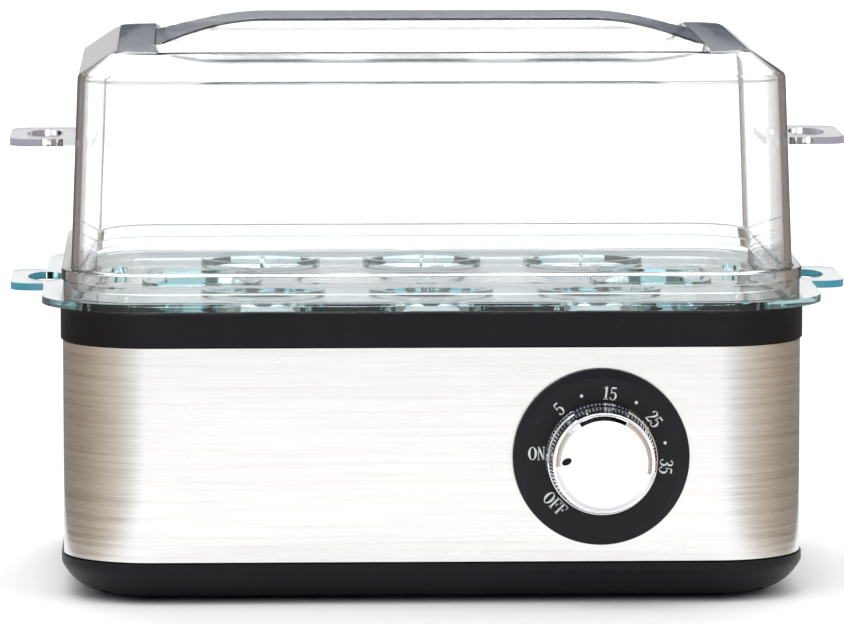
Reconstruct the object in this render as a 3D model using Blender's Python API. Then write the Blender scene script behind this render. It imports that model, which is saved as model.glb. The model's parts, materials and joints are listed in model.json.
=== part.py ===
"""Electric egg boiler: black base and top ring, steel band, water pan with its heater, clear tray, clear lid, timer.

Metres, +Z up. The front faces -Y. The origin is under the middle of the whole object, on the table.
"""

import math

import bmesh
import bpy
from mathutils import Vector

# Clearances and counts used everywhere
GAP = 0.0003  # between two pieces that touch
OVERRUN = 0.001  # how far a cut passes the face it opens
EMBED = 0.0005  # how far a joined shape sinks into its body
CORNER_STEPS = 8
ROUND_STEPS = 24
BORE_STEPS = 16
SMALL_STEPS = 10
NUT_SIDES = 6
SMOOTH_ANGLE = math.radians(35)

# Body, seen from above
BODY_WIDTH = 0.200
BODY_DEPTH = 0.146
BODY_CORNER = 0.025

# Rubber feet
FOOT_LIFT = 0.0010
FOOT_RADIUS = 0.0065
FOOT_RECESS = 0.0010
FOOT_FROM_SIDE = 0.036
FOOT_FROM_FRONT = 0.024
FOOT_EDGE = 0.0005

# Base shell
BASE_HEIGHT = 0.0101
BASE_FLOOR = 0.0024
BASE_ROUND_IN = 0.0050
BASE_ROUND_UP = 0.0056
BASE_RIM_HEIGHT = 0.0055
BASE_RIM_WALL = 0.0016
VENT_LENGTH = 0.022
VENT_WIDTH = 0.0022
VENT_PITCH = 0.0055
VENT_COUNT = 5
VENT_FROM_MIDDLE = 0.030

# Steel band
BAND_SETBACK = 0.0006
BAND_SHEET = 0.0008
BAND_HEIGHT = 0.0580

# Black top ring
BEZEL_HEIGHT = 0.0096
BEZEL_EDGE = 0.0008
BEZEL_LAND = 0.0055
BEZEL_LEDGE = 0.0075
BEZEL_LEDGE_THICK = 0.0024
BEZEL_RIM_HEIGHT = 0.0060
BEZEL_RIM_WALL = 0.0016

# Posts and long screws that pull the base and the top ring together
POST_RADIUS = 0.0036
BOSS_RADIUS = 0.0044
POST_FROM_EDGE = 0.0092
SCREW_RADIUS = 0.0015
SCREW_HEAD_RADIUS = 0.0028
SCREW_HEAD = 0.0020
SCREW_LENGTH = 0.022
SCREW_SEAT = 0.0022
SCREW_TIP = 0.0010
SCREW_SLOT_WIDTH = 0.0007
SCREW_SLOT_DEPTH = 0.0008
SCREW_TIP_SHARE = 0.5
SCREW_CROWN_SHARE = 0.75
SCREW_EDGE_SHARE = 0.65

# Water pan and its seal
PAN_SHEET = 0.0010
PAN_SINK = 0.0002
PAN_FLANGE = 0.0098
PAN_DEPTH = 0.0120
PAN_DRAFT = 0.0030
PAN_BEND = 0.0016
WELL_FROM_SIDE = 0.036
WELL_WIDTH = BODY_WIDTH - 2 * WELL_FROM_SIDE
WELL_LENGTH = 0.078
WELL_CORNER = 0.030
WELL_DEPTH = 0.0020
WELL_DRAFT = 0.0020
SEAL_THICK = 0.0010
SEAL_INSET = 0.0012
SEAL_WIDTH = 0.0045
STUD_FROM_SIDE = 0.0290
STUD_FROM_MIDDLE = BODY_WIDTH / 2 - STUD_FROM_SIDE
STUD_RADIUS = 0.0020
STUD_LENGTH = 0.0080

# Straps and nuts that hold the pan down
STRAP_WIDTH = 0.0110
STRAP_SHEET = 0.0012
STRAP_TOE = 0.0035
STRAP_CLEARANCE = 0.0010
NUT_RADIUS = 0.0040
NUT_HEIGHT = 0.0032

# Heater under the pan
SPREADER_SIDE_MARGIN = 0.010
SPREADER_END_MARGIN = 0.008
SPREADER_WIDTH = WELL_WIDTH - 2 * SPREADER_SIDE_MARGIN
SPREADER_LENGTH = WELL_LENGTH - 2 * SPREADER_END_MARGIN
SPREADER_CORNER = 0.022
SPREADER_THICK = 0.0020
ELEMENT_RADIUS = 0.0032
ELEMENT_BEND = 0.0210
ELEMENT_FROM_SIDE = 0.0100
ELEMENT_REACH = SPREADER_WIDTH / 2 - ELEMENT_FROM_SIDE
ELEMENT_PIN_RADIUS = 0.0012
ELEMENT_PIN = 0.0080
ELEMENT_SEAL = 0.0010
ELEMENT_STEPS = 12
THERMOSTAT_RADIUS = 0.0078
THERMOSTAT_HEIGHT = 0.0060
THERMOSTAT_LUG = 0.0125
THERMOSTAT_LUG_WIDTH = 0.0070
THERMOSTAT_LUG_THICK = 0.0010
THERMOSTAT_SCREW_FROM_MIDDLE = 0.0105
THERMOSTAT_SCREW_RADIUS = 0.0010
THERMOSTAT_SCREW_HEAD = 0.0019
BLADE_FROM_MIDDLE = 0.0035
BLADE_WIDTH = 0.0048
BLADE_SHEET = 0.0008
BLADE_LENGTH = 0.0070
FUSE_RADIUS = 0.0020
FUSE_LENGTH = 0.0120
FUSE_FROM_MIDDLE = 0.0300

# Tray
TRAY_SIDE_REACH = 0.0050
TRAY_FRONT_REACH = 0.0015
TRAY_CORNER = 0.0270
TRAY_PLATE = 0.0020
TRAY_RIM_INSET = 0.0008
TRAY_RIM_WALL = 0.0020
TRAY_RIM_HEIGHT = 0.0042
TRAY_SKIRT_WALL = 0.0014
TRAY_SKIRT_HEIGHT = 0.0034
TRAY_SKIRT_CLEARANCE = 0.0010
NOTCH_WIDTH = 0.0132
NOTCH_PITCH = 0.0440
NOTCH_DEPTH = 0.0011
SEAT_RADIUS = 0.0150
SEAT_STEPS = 20
SEAT_PITCH = 0.0454
SEAT_ROW_FROM_FRONT = 0.0330
SEAT_END_FROM_SIDE = 0.0380
SEAT_ROW = BODY_DEPTH / 2 - SEAT_ROW_FROM_FRONT
SEAT_END = BODY_WIDTH / 2 - SEAT_END_FROM_SIDE
SEAT_WALL = 0.0018
SEAT_RISE = 0.0012
SEAT_DROP = 0.0026
SLOT_LENGTH = 0.0160
SLOT_WIDTH = 0.0050
SLOT_FROM_SIDE = 0.0140
SLOT_FROM_MIDDLE = BODY_WIDTH / 2 - SLOT_FROM_SIDE
SLOT_FROM_CENTRE_LINE = 0.0190
STEAM_RADIUS = 0.0030
STEAM_FROM_SEAT = 0.0170
STEAM_FROM_MIDDLE = SEAT_END - SEAT_RADIUS - STEAM_FROM_SEAT

# Ears, the same on the tray and on the lid
EAR_REACH = 0.0143
EAR_TIP = BODY_WIDTH / 2 + EAR_REACH
EAR_HALF_DEPTH = 0.0194
EAR_ROUND = 0.0060
EAR_THICK = 0.0020
EAR_HOLE_HALF = 0.0110
EAR_HOLE_RADIUS = 0.0050
EAR_HOLE_FROM_TIP = 0.0095

# Lid
LID_SETBACK = 0.0029
LID_WALL = 0.0020
LID_DRAFT = 0.0020
LID_FLANGE_INSET = 0.0003
LID_FLANGE_HEIGHT = 0.0029
LID_LIP_WALL = 0.0014
LID_LIP_DROP = 0.0024
LID_WALL_HEIGHT = 0.0518
LID_CHAMFER_IN = 0.0086
LID_CHAMFER_UP = 0.0058
LID_ROUND_IN = 0.0020
LID_ROUND_UP = 0.0009
LID_EAR_UP = 0.0350

# Arched grip on the lid and the finger scoops beside it
GRIP_HALF_LENGTH = 0.0745
GRIP_RAMP = 0.0300
GRIP_RISE = 0.0062
GRIP_HALF_DEPTH = 0.0175
GRIP_END_HALF_DEPTH = 0.0330
SCOOP_DEPTH = 0.0080
SCOOP_RAMP = 0.0210
# Along the grip's ramp, from its end to its full height
RAMP_SHARES = (0, 0.05, 0.13, 0.25, 0.4, 0.6, 0.8, 1)
MIDDLE_SHARES = (0.65, 0.3, 0)
# Across a scoop, from the grip's edge to the lid's front: the place, the grip's rise left, the scoop's depth reached
SCOOP_SHARES = ((0.1, 0.62, 0.3), (0.22, 0.25, 0.72), (0.36, 0, 1), (0.62, 0, 1), (0.84, 0, 0.62), (1, 0, 0))

# Dial and knob
DIAL_FROM_MIDDLE = 0.0443
DIAL_UP = 0.0286
DIAL_RADIUS = 0.0236
DIAL_THICK = 0.0024
DIAL_BEVEL_IN = 0.0020
DIAL_BEVEL_UP = 0.0008
KNOB_LENGTH = 0.0128
KNOB_CLEARANCE = 0.0006
KNOB_RADIUS = 0.0150
KNOB_TIER_RADIUS = 0.0139
KNOB_FACE_RADIUS = 0.0127
KNOB_FACE_EDGE = 0.0008
KNOB_STEP = 0.0050
KNOB_STEP_SLOPE = 0.0007
KNOB_SHELL = 0.0016
KNOB_CAP = 0.0024
KNOB_HUB_RADIUS = 0.0052
DENT_LENGTH = 0.0036
DENT_WIDTH = 0.0024
DENT_DEPTH = 0.0006
DENT_FOOT_SHARE = 0.3
DENT_FROM_AXIS = 0.0100
DENT_ANGLE = math.radians(-86)

# Clockwork timer behind the dial
SHAFT_RADIUS = 0.0030
SHAFT_FLAT = 0.0021
SHAFT_IN_KNOB = 0.0095
TIMER_SIDE = 0.0410
TIMER_CORNER = 0.0060
TIMER_DEPTH = 0.0200
TIMER_FRONT = 0.0024
TIMER_WALL = 0.0016
TIMER_COVER = 0.0018
TIMER_SCREW_FROM_AXIS = 0.0092
TIMER_SCREW_RADIUS = 0.0013
TIMER_SCREW_HEAD_RADIUS = 0.0026
TIMER_SCREW_HEAD = 0.0015
TIMER_SCREW_LENGTH = 0.0058
CAM_RADIUS = 0.0110
CAM_NOTCH = 0.0030
CAM_THICK = 0.0040
CAM_FROM_FRONT = 0.0075
BELL_RADIUS = 0.0130
BELL_HEIGHT = 0.0070
BELL_SHEET = 0.0010
BELL_STEM_RADIUS = 0.0020
BELL_BOSS = 0.0030
BELL_BOSS_RADIUS = 0.0036
BELL_CROWN_SHARE = 0.78
SHAFT_RECESS = 0.0009
TAB_FROM_AXIS = 0.0155
TAB_INSIDE = 0.0050

# Terminal block, gland and leads
BLOCK_WIDTH = 0.0300
BLOCK_LENGTH = 0.0140
BLOCK_HEIGHT = 0.0120
BLOCK_PAD = 0.0020
BLOCK_X = -0.0300
BLOCK_Y = 0.0330
BLOCK_WAYS = 3
BLOCK_PITCH = 0.0090
BLOCK_WAY_RADIUS = 0.0024
BLOCK_WAY_DEPTH = 0.0030
BLOCK_SCREW_RADIUS = 0.0013
BLOCK_SCREW_HEAD_RADIUS = 0.0022
BLOCK_SCREW_HEAD = 0.0016
BLOCK_SCREW_HOLD = 0.0020
BLOCK_SCREW_SETBACK = 0.0020
GLAND_FROM_SIDE = 0.0400
GLAND_X = GLAND_FROM_SIDE - BODY_WIDTH / 2
GLAND_UP = 0.0149
GLAND_BORE = 0.0036
GLAND_NECK = 0.0055
GLAND_FLANGE = 0.0080
GLAND_FLANGE_THICK = 0.0024
LEAD_RADIUS = 0.0010
LEAD_STEPS = 10
LEAD_PULL = 0.0150
LONG_PULL = 0.0210

# Heights, worked out upwards from the table
BASE_TOP = FOOT_LIFT + BASE_HEIGHT
FLOOR_TOP = FOOT_LIFT + BASE_FLOOR
BAND_TOP = BASE_TOP + BAND_HEIGHT
BEZEL_TOP = BAND_TOP + BEZEL_HEIGHT
REBATE = PAN_SINK + PAN_SHEET + SEAL_THICK + 2 * GAP
LEDGE_TOP = BEZEL_TOP - REBATE
LEDGE_BOTTOM = LEDGE_TOP - BEZEL_LEDGE_THICK
PAN_TOP = BEZEL_TOP - PAN_SINK
BOWL_TOP = PAN_TOP - PAN_DEPTH
BOWL_UNDER = BOWL_TOP - PAN_SHEET
WELL_UNDER = BOWL_UNDER - WELL_DEPTH
SPREADER_UNDER = WELL_UNDER - GAP - SPREADER_THICK
TRAY_UNDER = BEZEL_TOP + GAP
TRAY_TOP = TRAY_UNDER + TRAY_PLATE
TRAY_RIM_TOP = TRAY_TOP + TRAY_RIM_HEIGHT
LID_UNDER = TRAY_RIM_TOP + GAP
LID_FLANGE_TOP = LID_UNDER + LID_FLANGE_HEIGHT
LID_SHOULDER = LID_FLANGE_TOP + LID_WALL_HEIGHT
LID_EDGE = LID_SHOULDER + LID_CHAMFER_UP
LID_FLAT = LID_EDGE + LID_ROUND_UP
DIAL_HEIGHT = BASE_TOP + DIAL_UP
GLAND_HEIGHT = BASE_TOP + GLAND_UP
PAN_INSET = BEZEL_LAND + GAP
BOWL_INSET = PAN_INSET + PAN_FLANGE

# Depths from the front face, along Y
BAND_FRONT = -BODY_DEPTH / 2 + BAND_SETBACK
BAND_INSIDE = BAND_FRONT + BAND_SHEET
DIAL_FRONT = BAND_FRONT - GAP - DIAL_THICK
KNOB_BACK = DIAL_FRONT - KNOB_CLEARANCE
KNOB_FRONT = KNOB_BACK - KNOB_LENGTH
TIMER_FACE = BAND_INSIDE + GAP
TIMER_BACK = TIMER_FACE + TIMER_DEPTH
COVER_BACK = TIMER_BACK + GAP + TIMER_COVER
GLAND_BACK = -BAND_FRONT + GAP + GLAND_FLANGE_THICK
# The knob stands further out than the gland, so the body sits behind the middle of the whole
BODY_SHIFT = -(KNOB_FRONT + GLAND_BACK) / 2

FACING_FRONT = (math.radians(90), 0, 0)


def clear_scene():
    for thing in list(bpy.data.objects):
        bpy.data.objects.remove(thing)


def make_material(name, colour, roughness, metallic=0.0, alpha=1.0):
    material = bpy.data.materials.new(name)
    material.use_nodes = True
    shader = material.node_tree.nodes["Principled BSDF"]
    shader.inputs["Base Color"].default_value = (*colour, 1.0)
    shader.inputs["Roughness"].default_value = roughness
    shader.inputs["Metallic"].default_value = metallic
    shader.inputs["Alpha"].default_value = alpha
    return material


BLACK_PLASTIC = ((0.021, 0.020, 0.025), 0.38)
DIAL_PLASTIC = ((0.030, 0.028, 0.036), 0.42)
BRUSHED = ((0.62, 0.59, 0.55), 0.32, 1.0)
STEEL = ((0.60, 0.60, 0.60), 0.35, 1.0)
CHROME = ((0.90, 0.90, 0.91), 0.06, 1.0)
ALUMINIUM = ((0.72, 0.73, 0.74), 0.45, 1.0)
BRASS = ((0.74, 0.56, 0.25), 0.35, 1.0)
CLEAR = ((0.95, 0.96, 0.97), 0.05, 0.0, 0.25)
AQUA = ((0.72, 0.88, 0.90), 0.05, 0.0, 0.35)
RUBBER = ((0.035, 0.034, 0.036), 0.75)
SILICONE = ((0.55, 0.52, 0.50), 0.60)
CERAMIC = ((0.80, 0.78, 0.74), 0.55)
PALE_PLASTIC = ((0.70, 0.69, 0.66), 0.50)
DARK_STEEL = ((0.16, 0.15, 0.15), 0.50, 1.0)
LEAD_BROWN = ((0.20, 0.09, 0.05), 0.50)
LEAD_BLUE = ((0.05, 0.12, 0.35), 0.50)
LEAD_GREEN = ((0.20, 0.38, 0.06), 0.50)
LEAD_WHITE = ((0.75, 0.74, 0.72), 0.50)


def place(thing, parent, location=(0, 0, 0), rotation=(0, 0, 0)):
    thing.parent = parent
    thing.location = location
    thing.rotation_euler = rotation
    return thing


def from_mesh_data(work, name, finish=None):
    """Turns a bmesh into an object with outward faces, smooth where it is round."""
    bmesh.ops.recalc_face_normals(work, faces=work.faces)
    mesh = bpy.data.meshes.new(name)
    work.to_mesh(mesh)
    work.free()
    thing = bpy.data.objects.new(name, mesh)
    bpy.context.scene.collection.objects.link(thing)
    mesh.shade_smooth()
    mesh.set_sharp_from_angle(angle=SMOOTH_ANGLE)
    if finish:
        mesh.materials.append(make_material(name, *finish))
    return thing


def add_skin(work, loops, ring=False):
    """Joins loops of equal count by faces: capped at both ends, or closed back on the first loop."""
    rows = [[work.verts.new(point) for point in loop] for loop in loops]
    pairs = list(zip(rows, rows[1:]))
    if ring:
        pairs.append((rows[-1], rows[0]))
    for low, high in pairs:
        for i in range(len(low)):
            j = (i + 1) % len(low)
            work.faces.new((low[i], low[j], high[j], high[i]))
    if not ring:
        work.faces.new(list(reversed(rows[0])))
        work.faces.new(rows[-1])


def skin(name, loops, finish=None, ring=False):
    work = bmesh.new()
    add_skin(work, loops, ring)
    return from_mesh_data(work, name, finish)


def arc(centre_x, centre_y, radius, start, end, steps):
    """Points of a circular arc, with angles in quarter turns."""
    points = []
    for i in range(steps + 1):
        angle = math.radians(90) * (start + (end - start) * i / steps)
        points.append((centre_x + radius * math.cos(angle), centre_y + radius * math.sin(angle)))
    return points


def rounded_outline(half_x, half_y, radius, steps=CORNER_STEPS):
    """Outline of a rectangle with round corners, anticlockwise from the middle of its right side."""
    points = arc(half_x - radius, half_y - radius, radius, 0, 1, steps)
    points += arc(radius - half_x, half_y - radius, radius, 1, 2, steps)
    points += arc(radius - half_x, radius - half_y, radius, 2, 3, steps)
    points += arc(half_x - radius, radius - half_y, radius, 3, 4, steps)
    return points


def at_height(outline, z):
    return [Vector((x, y, z)) for x, y in outline]


def body_loop(inset, z):
    """The body's outline, drawn in by inset, at height z."""
    radius = BODY_CORNER - inset
    return at_height(rounded_outline(BODY_WIDTH / 2 - inset, BODY_DEPTH / 2 - inset, radius), z)


def prism(name, outline, low, high, finish=None):
    return skin(name, [at_height(outline, low), at_height(outline, high)], finish)


def box(name, low, high, finish=None):
    outline = [(low[0], low[1]), (high[0], low[1]), (high[0], high[1]), (low[0], high[1])]
    return prism(name, outline, low[2], high[2], finish)


def centred_box(name, centre, size, finish=None):
    low = [c - s / 2 for c, s in zip(centre, size)]
    high = [c + s / 2 for c, s in zip(centre, size)]
    return box(name, low, high, finish)


def circle(radius, steps, centre=(0, 0)):
    return arc(centre[0], centre[1], radius, 0, 4 - 4 / steps, steps - 1)


def turned(name, profile, steps, finish=None, ring=False, centre=(0, 0)):
    """A round piece about Z: profile holds (radius, height) pairs."""
    return skin(name, [at_height(circle(r, steps, centre), h) for r, h in profile], finish, ring)


def cylinder(name, radius, low, high, steps=SMALL_STEPS, centre=(0, 0), finish=None):
    return turned(name, [(radius, low), (radius, high)], steps, finish, centre=centre)


def shape(body, tools, operation="DIFFERENCE"):
    """Cuts the tools out of a body, or joins them to it, and clears them away."""
    for tool in tools:
        change = body.modifiers.new(tool.name, "BOOLEAN")
        change.operation = operation
        change.solver = "EXACT"
        change.object = tool
    bpy.context.view_layer.update()
    graph = bpy.context.evaluated_depsgraph_get()
    shaped = bpy.data.meshes.new_from_object(body.evaluated_get(graph))
    body.modifiers.clear()
    body.data = shaped
    for tool in tools:
        bpy.data.objects.remove(tool)
    shaped.shade_smooth()
    shaped.set_sharp_from_angle(angle=SMOOTH_ANGLE)
    return body


def corners(x, y):
    """The four places at plus and minus x and y, with their names."""
    for side, across in (("left", -1), ("right", 1)):
        for end, along in (("front", -1), ("back", 1)):
            yield f"{end}_{side}", across * x, along * y


# Places that several pieces share

FOOT_X = BODY_WIDTH / 2 - FOOT_FROM_SIDE
FOOT_Y = BODY_DEPTH / 2 - FOOT_FROM_FRONT
POST_OUT = (BODY_CORNER - POST_FROM_EDGE) * math.sqrt(2) / 2
POST_X = BODY_WIDTH / 2 - BODY_CORNER + POST_OUT
POST_Y = BODY_DEPTH / 2 - BODY_CORNER + POST_OUT
RIM_INSET = BAND_SETBACK + BAND_SHEET + GAP
RIM_TOP = BASE_TOP + BASE_RIM_HEIGHT
SCREW_SEAT_HEIGHT = FOOT_LIFT + SCREW_HEAD + SCREW_SEAT
SKIRT_INSET = BOWL_INSET + TRAY_SKIRT_CLEARANCE
BLOCK_UNDER = FLOOR_TOP + BLOCK_PAD + GAP
BLOCK_TOP = BLOCK_UNDER + BLOCK_HEIGHT
BLOCK_SCREW_X = BLOCK_X + BLOCK_PITCH / 2
BLOCK_SCREW_Y = BLOCK_Y + BLOCK_SCREW_SETBACK
ELEMENT_HEIGHT = SPREADER_UNDER - GAP - ELEMENT_RADIUS
THERMOSTAT_TOP = SPREADER_UNDER - GAP
THERMOSTAT_UNDER = THERMOSTAT_TOP - THERMOSTAT_HEIGHT
FUSE_HEIGHT = SPREADER_UNDER - GAP - FUSE_RADIUS
STRAP_TOP = BOWL_UNDER - GAP
STRAP_UNDER = STRAP_TOP - STRAP_SHEET
TAB_X = DIAL_FROM_MIDDLE - TAB_FROM_AXIS
TAB_BACK = COVER_BACK + BLADE_LENGTH


# Base, feet and screws

def base(parent):
    loops = []
    for i in range(CORNER_STEPS // 2 + 1):
        turn = math.radians(90) * 2 * i / CORNER_STEPS
        inset = BASE_ROUND_IN * (1 - math.sin(turn))
        loops.append(body_loop(inset, FOOT_LIFT + BASE_ROUND_UP * (1 - math.cos(turn))))
    loops.append(body_loop(0, BASE_TOP))
    loops.append(body_loop(RIM_INSET, BASE_TOP))
    loops.append(body_loop(RIM_INSET, RIM_TOP))
    loops.append(body_loop(RIM_INSET + BASE_RIM_WALL, RIM_TOP))
    loops.append(body_loop(RIM_INSET + BASE_RIM_WALL, FLOOR_TOP))
    shell = skin("base", loops, BLACK_PLASTIC)
    bosses = [cylinder("boss", BOSS_RADIUS, FLOOR_TOP - EMBED, RIM_TOP, BORE_STEPS, (x, y))
              for _, x, y in corners(POST_X, POST_Y)]
    pad_size = (BLOCK_WIDTH - BLOCK_PAD, BLOCK_LENGTH - BLOCK_PAD, BLOCK_PAD + EMBED)
    pad = centred_box("pad", (BLOCK_X, BLOCK_Y, FLOOR_TOP + (BLOCK_PAD - EMBED) / 2), pad_size)
    shape(shell, bosses + [pad], "UNION")
    cuts = []
    for _, x, y in corners(POST_X, POST_Y):
        head = SCREW_HEAD_RADIUS + GAP
        cuts.append(cylinder("counterbore", head, FOOT_LIFT - OVERRUN, SCREW_SEAT_HEIGHT, SMALL_STEPS, (x, y)))
        cuts.append(cylinder("screw_hole", SCREW_RADIUS + GAP, FOOT_LIFT, RIM_TOP + OVERRUN, SMALL_STEPS, (x, y)))
    for _, x, y in corners(FOOT_X, FOOT_Y):
        recess = FOOT_LIFT + FOOT_RECESS
        cuts.append(cylinder("foot_recess", FOOT_RADIUS + GAP, FOOT_LIFT - OVERRUN, recess, BORE_STEPS, (x, y)))
    for side in (-1, 1):
        for i in range(VENT_COUNT):
            x = side * VENT_FROM_MIDDLE + (i - (VENT_COUNT - 1) / 2) * VENT_PITCH
            size = (VENT_WIDTH, VENT_LENGTH, BASE_FLOOR + 2 * OVERRUN)
            cuts.append(centred_box("vent", (x, 0, FOOT_LIFT + BASE_FLOOR / 2), size))
    hold = BLOCK_UNDER - GAP - BLOCK_SCREW_HOLD
    place_of_screw = (BLOCK_SCREW_X, BLOCK_SCREW_Y)
    cuts.append(cylinder("pilot", BLOCK_SCREW_RADIUS + GAP, hold, BLOCK_UNDER, SMALL_STEPS, place_of_screw))
    place(shape(shell, cuts), parent)


def feet(parent):
    height = FOOT_LIFT + FOOT_RECESS - GAP
    profile = [(FOOT_RADIUS - FOOT_EDGE, 0), (FOOT_RADIUS, FOOT_EDGE), (FOOT_RADIUS, height)]
    for name, x, y in corners(FOOT_X, FOOT_Y):
        place(turned(f"foot_{name}", profile, BORE_STEPS, RUBBER), parent, (x, y, 0))


def screw(name, radius, head_radius, head, length, finish=STEEL):
    """A slotted screw with its head's underside at the origin and its head along +Z."""
    edge = head * SCREW_EDGE_SHARE
    profile = [(radius * SCREW_TIP_SHARE, -length), (radius, -length + radius), (radius, 0)]
    profile += [(head_radius, 0), (head_radius, edge), (head_radius * SCREW_CROWN_SHARE, head)]
    body = turned(name, profile, SMALL_STEPS, finish)
    slot_size = (2 * head_radius + 2 * OVERRUN, SCREW_SLOT_WIDTH, 2 * min(SCREW_SLOT_DEPTH, edge))
    return shape(body, [centred_box("slot", (0, 0, head), slot_size)])


def base_screws(parent):
    for name, x, y in corners(POST_X, POST_Y):
        body = screw(f"base_screw_{name}", SCREW_RADIUS, SCREW_HEAD_RADIUS, SCREW_HEAD, SCREW_LENGTH)
        place(body, parent, (x, y, SCREW_SEAT_HEIGHT - GAP), (math.radians(180), 0, 0))


# Steel band

def steel_band(parent):
    inside = BAND_SETBACK + BAND_SHEET
    low = BASE_TOP + GAP
    loops = [body_loop(BAND_SETBACK, low), body_loop(BAND_SETBACK, BAND_TOP)]
    loops += [body_loop(inside, BAND_TOP), body_loop(inside, low)]
    band = skin("steel_band", loops, BRUSHED, ring=True)
    front_cuts = [cylinder("shaft_hole", SHAFT_RADIUS + KNOB_SHELL, -OVERRUN, BAND_SHEET + OVERRUN, BORE_STEPS)]
    for side in (-1, 1):
        spot = (side * TIMER_SCREW_FROM_AXIS, 0)
        hole = cylinder("screw_hole", TIMER_SCREW_RADIUS + GAP, -OVERRUN, BAND_SHEET + OVERRUN, SMALL_STEPS, spot)
        front_cuts.append(hole)
    for cut in front_cuts:
        place(cut, None, (DIAL_FROM_MIDDLE, BAND_INSIDE, DIAL_HEIGHT), FACING_FRONT)
    gland = cylinder("gland_hole", GLAND_NECK + GAP, -OVERRUN, BAND_SHEET + OVERRUN, BORE_STEPS)
    place(gland, None, (GLAND_X, -BAND_FRONT, GLAND_HEIGHT), FACING_FRONT)
    place(shape(band, front_cuts + [gland]), parent)


# Top ring, pan and heater

def bezel(parent):
    low = BAND_TOP + GAP
    ledge = BEZEL_LAND + BEZEL_LEDGE
    rim_low = BAND_TOP - BEZEL_RIM_HEIGHT
    rim_inside = RIM_INSET + BEZEL_RIM_WALL
    section = [(0, low), (0, BEZEL_TOP - BEZEL_EDGE), (BEZEL_EDGE, BEZEL_TOP), (BEZEL_LAND, BEZEL_TOP)]
    section += [(BEZEL_LAND, LEDGE_TOP), (ledge, LEDGE_TOP), (ledge, LEDGE_BOTTOM)]
    section += [(rim_inside, LEDGE_BOTTOM), (rim_inside, rim_low), (RIM_INSET, rim_low), (RIM_INSET, low)]
    ring = skin("bezel", [body_loop(inset, z) for inset, z in section], BLACK_PLASTIC, ring=True)
    posts = [cylinder("post", POST_RADIUS, RIM_TOP + GAP, LEDGE_BOTTOM + EMBED, BORE_STEPS, (x, y))
             for _, x, y in corners(POST_X, POST_Y)]
    shape(ring, posts, "UNION")
    depth = SCREW_SEAT_HEIGHT + SCREW_LENGTH + SCREW_TIP
    pilots = [cylinder("pilot", SCREW_RADIUS + GAP, RIM_TOP, depth, SMALL_STEPS, (x, y))
              for _, x, y in corners(POST_X, POST_Y)]
    place(shape(ring, pilots), parent)


def pan_seal(parent):
    outer = PAN_INSET + SEAL_INSET
    low = LEDGE_TOP + GAP
    high = low + SEAL_THICK
    section = [(outer, low), (outer, high), (outer + SEAL_WIDTH, high), (outer + SEAL_WIDTH, low)]
    place(skin("pan_seal", [body_loop(inset, z) for inset, z in section], SILICONE, ring=True), parent)


def well_loop(draft, spread, z):
    half_x = WELL_WIDTH / 2 - draft + spread
    half_y = WELL_LENGTH / 2 - draft + spread
    return at_height(rounded_outline(half_x, half_y, WELL_CORNER - draft + spread), z)


def heating_pan(parent):
    section = [(BOWL_INSET - PAN_BEND, PAN_TOP), (BOWL_INSET, PAN_TOP - PAN_BEND)]
    section += [(BOWL_INSET + PAN_DRAFT, BOWL_TOP + PAN_BEND), (BOWL_INSET + PAN_DRAFT + PAN_BEND, BOWL_TOP)]
    upper = [body_loop(PAN_INSET, PAN_TOP)] + [body_loop(inset, z) for inset, z in section]
    upper += [well_loop(0, 0, BOWL_TOP), well_loop(WELL_DRAFT, 0, BOWL_TOP - WELL_DEPTH)]
    lower = [body_loop(PAN_INSET, PAN_TOP - PAN_SHEET)]
    lower += [body_loop(inset - PAN_SHEET, z - PAN_SHEET) for inset, z in section]
    lower += [well_loop(0, PAN_SHEET, BOWL_UNDER), well_loop(WELL_DRAFT, PAN_SHEET, WELL_UNDER)]
    pan = skin("heating_pan", upper[::-1] + lower, STEEL)
    low = BOWL_UNDER - STUD_LENGTH
    studs = [cylinder("stud", STUD_RADIUS, low, BOWL_UNDER + EMBED, SMALL_STEPS, (side * STUD_FROM_MIDDLE, 0))
             for side in (-1, 1)]
    place(shape(pan, studs, "UNION"), parent)


def pan_straps(parent):
    arm = BODY_DEPTH / 2 - (BOWL_INSET - PAN_SHEET - STRAP_CLEARANCE)
    top = LEDGE_BOTTOM - GAP
    half = [(arm, STRAP_TOP), (arm, top), (arm + STRAP_TOE, top), (arm + STRAP_TOE, top - STRAP_SHEET)]
    half += [(arm + STRAP_SHEET, top - STRAP_SHEET), (arm + STRAP_SHEET, STRAP_UNDER)]
    outline = half + [(-y, z) for y, z in reversed(half)]
    for name, side in (("left", -1), ("right", 1)):
        middle = side * STUD_FROM_MIDDLE
        ends = [[Vector((middle + end * STRAP_WIDTH / 2, y, z)) for y, z in outline] for end in (-1, 1)]
        strap = skin(f"pan_bracket_{name}", ends, STEEL)
        hole = cylinder("hole", STUD_RADIUS + GAP, STRAP_UNDER - OVERRUN, STRAP_TOP + OVERRUN, SMALL_STEPS, (middle, 0))
        place(shape(strap, [hole]), parent)
        nut_top = STRAP_UNDER - GAP
        nut = cylinder(f"pan_nut_{name}", NUT_RADIUS, nut_top - NUT_HEIGHT, nut_top, NUT_SIDES, (middle, 0), STEEL)
        low = nut_top - NUT_HEIGHT - OVERRUN
        bore = cylinder("bore", STUD_RADIUS + GAP, low, nut_top + OVERRUN, SMALL_STEPS, (middle, 0))
        place(shape(nut, [bore]), parent)


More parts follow.
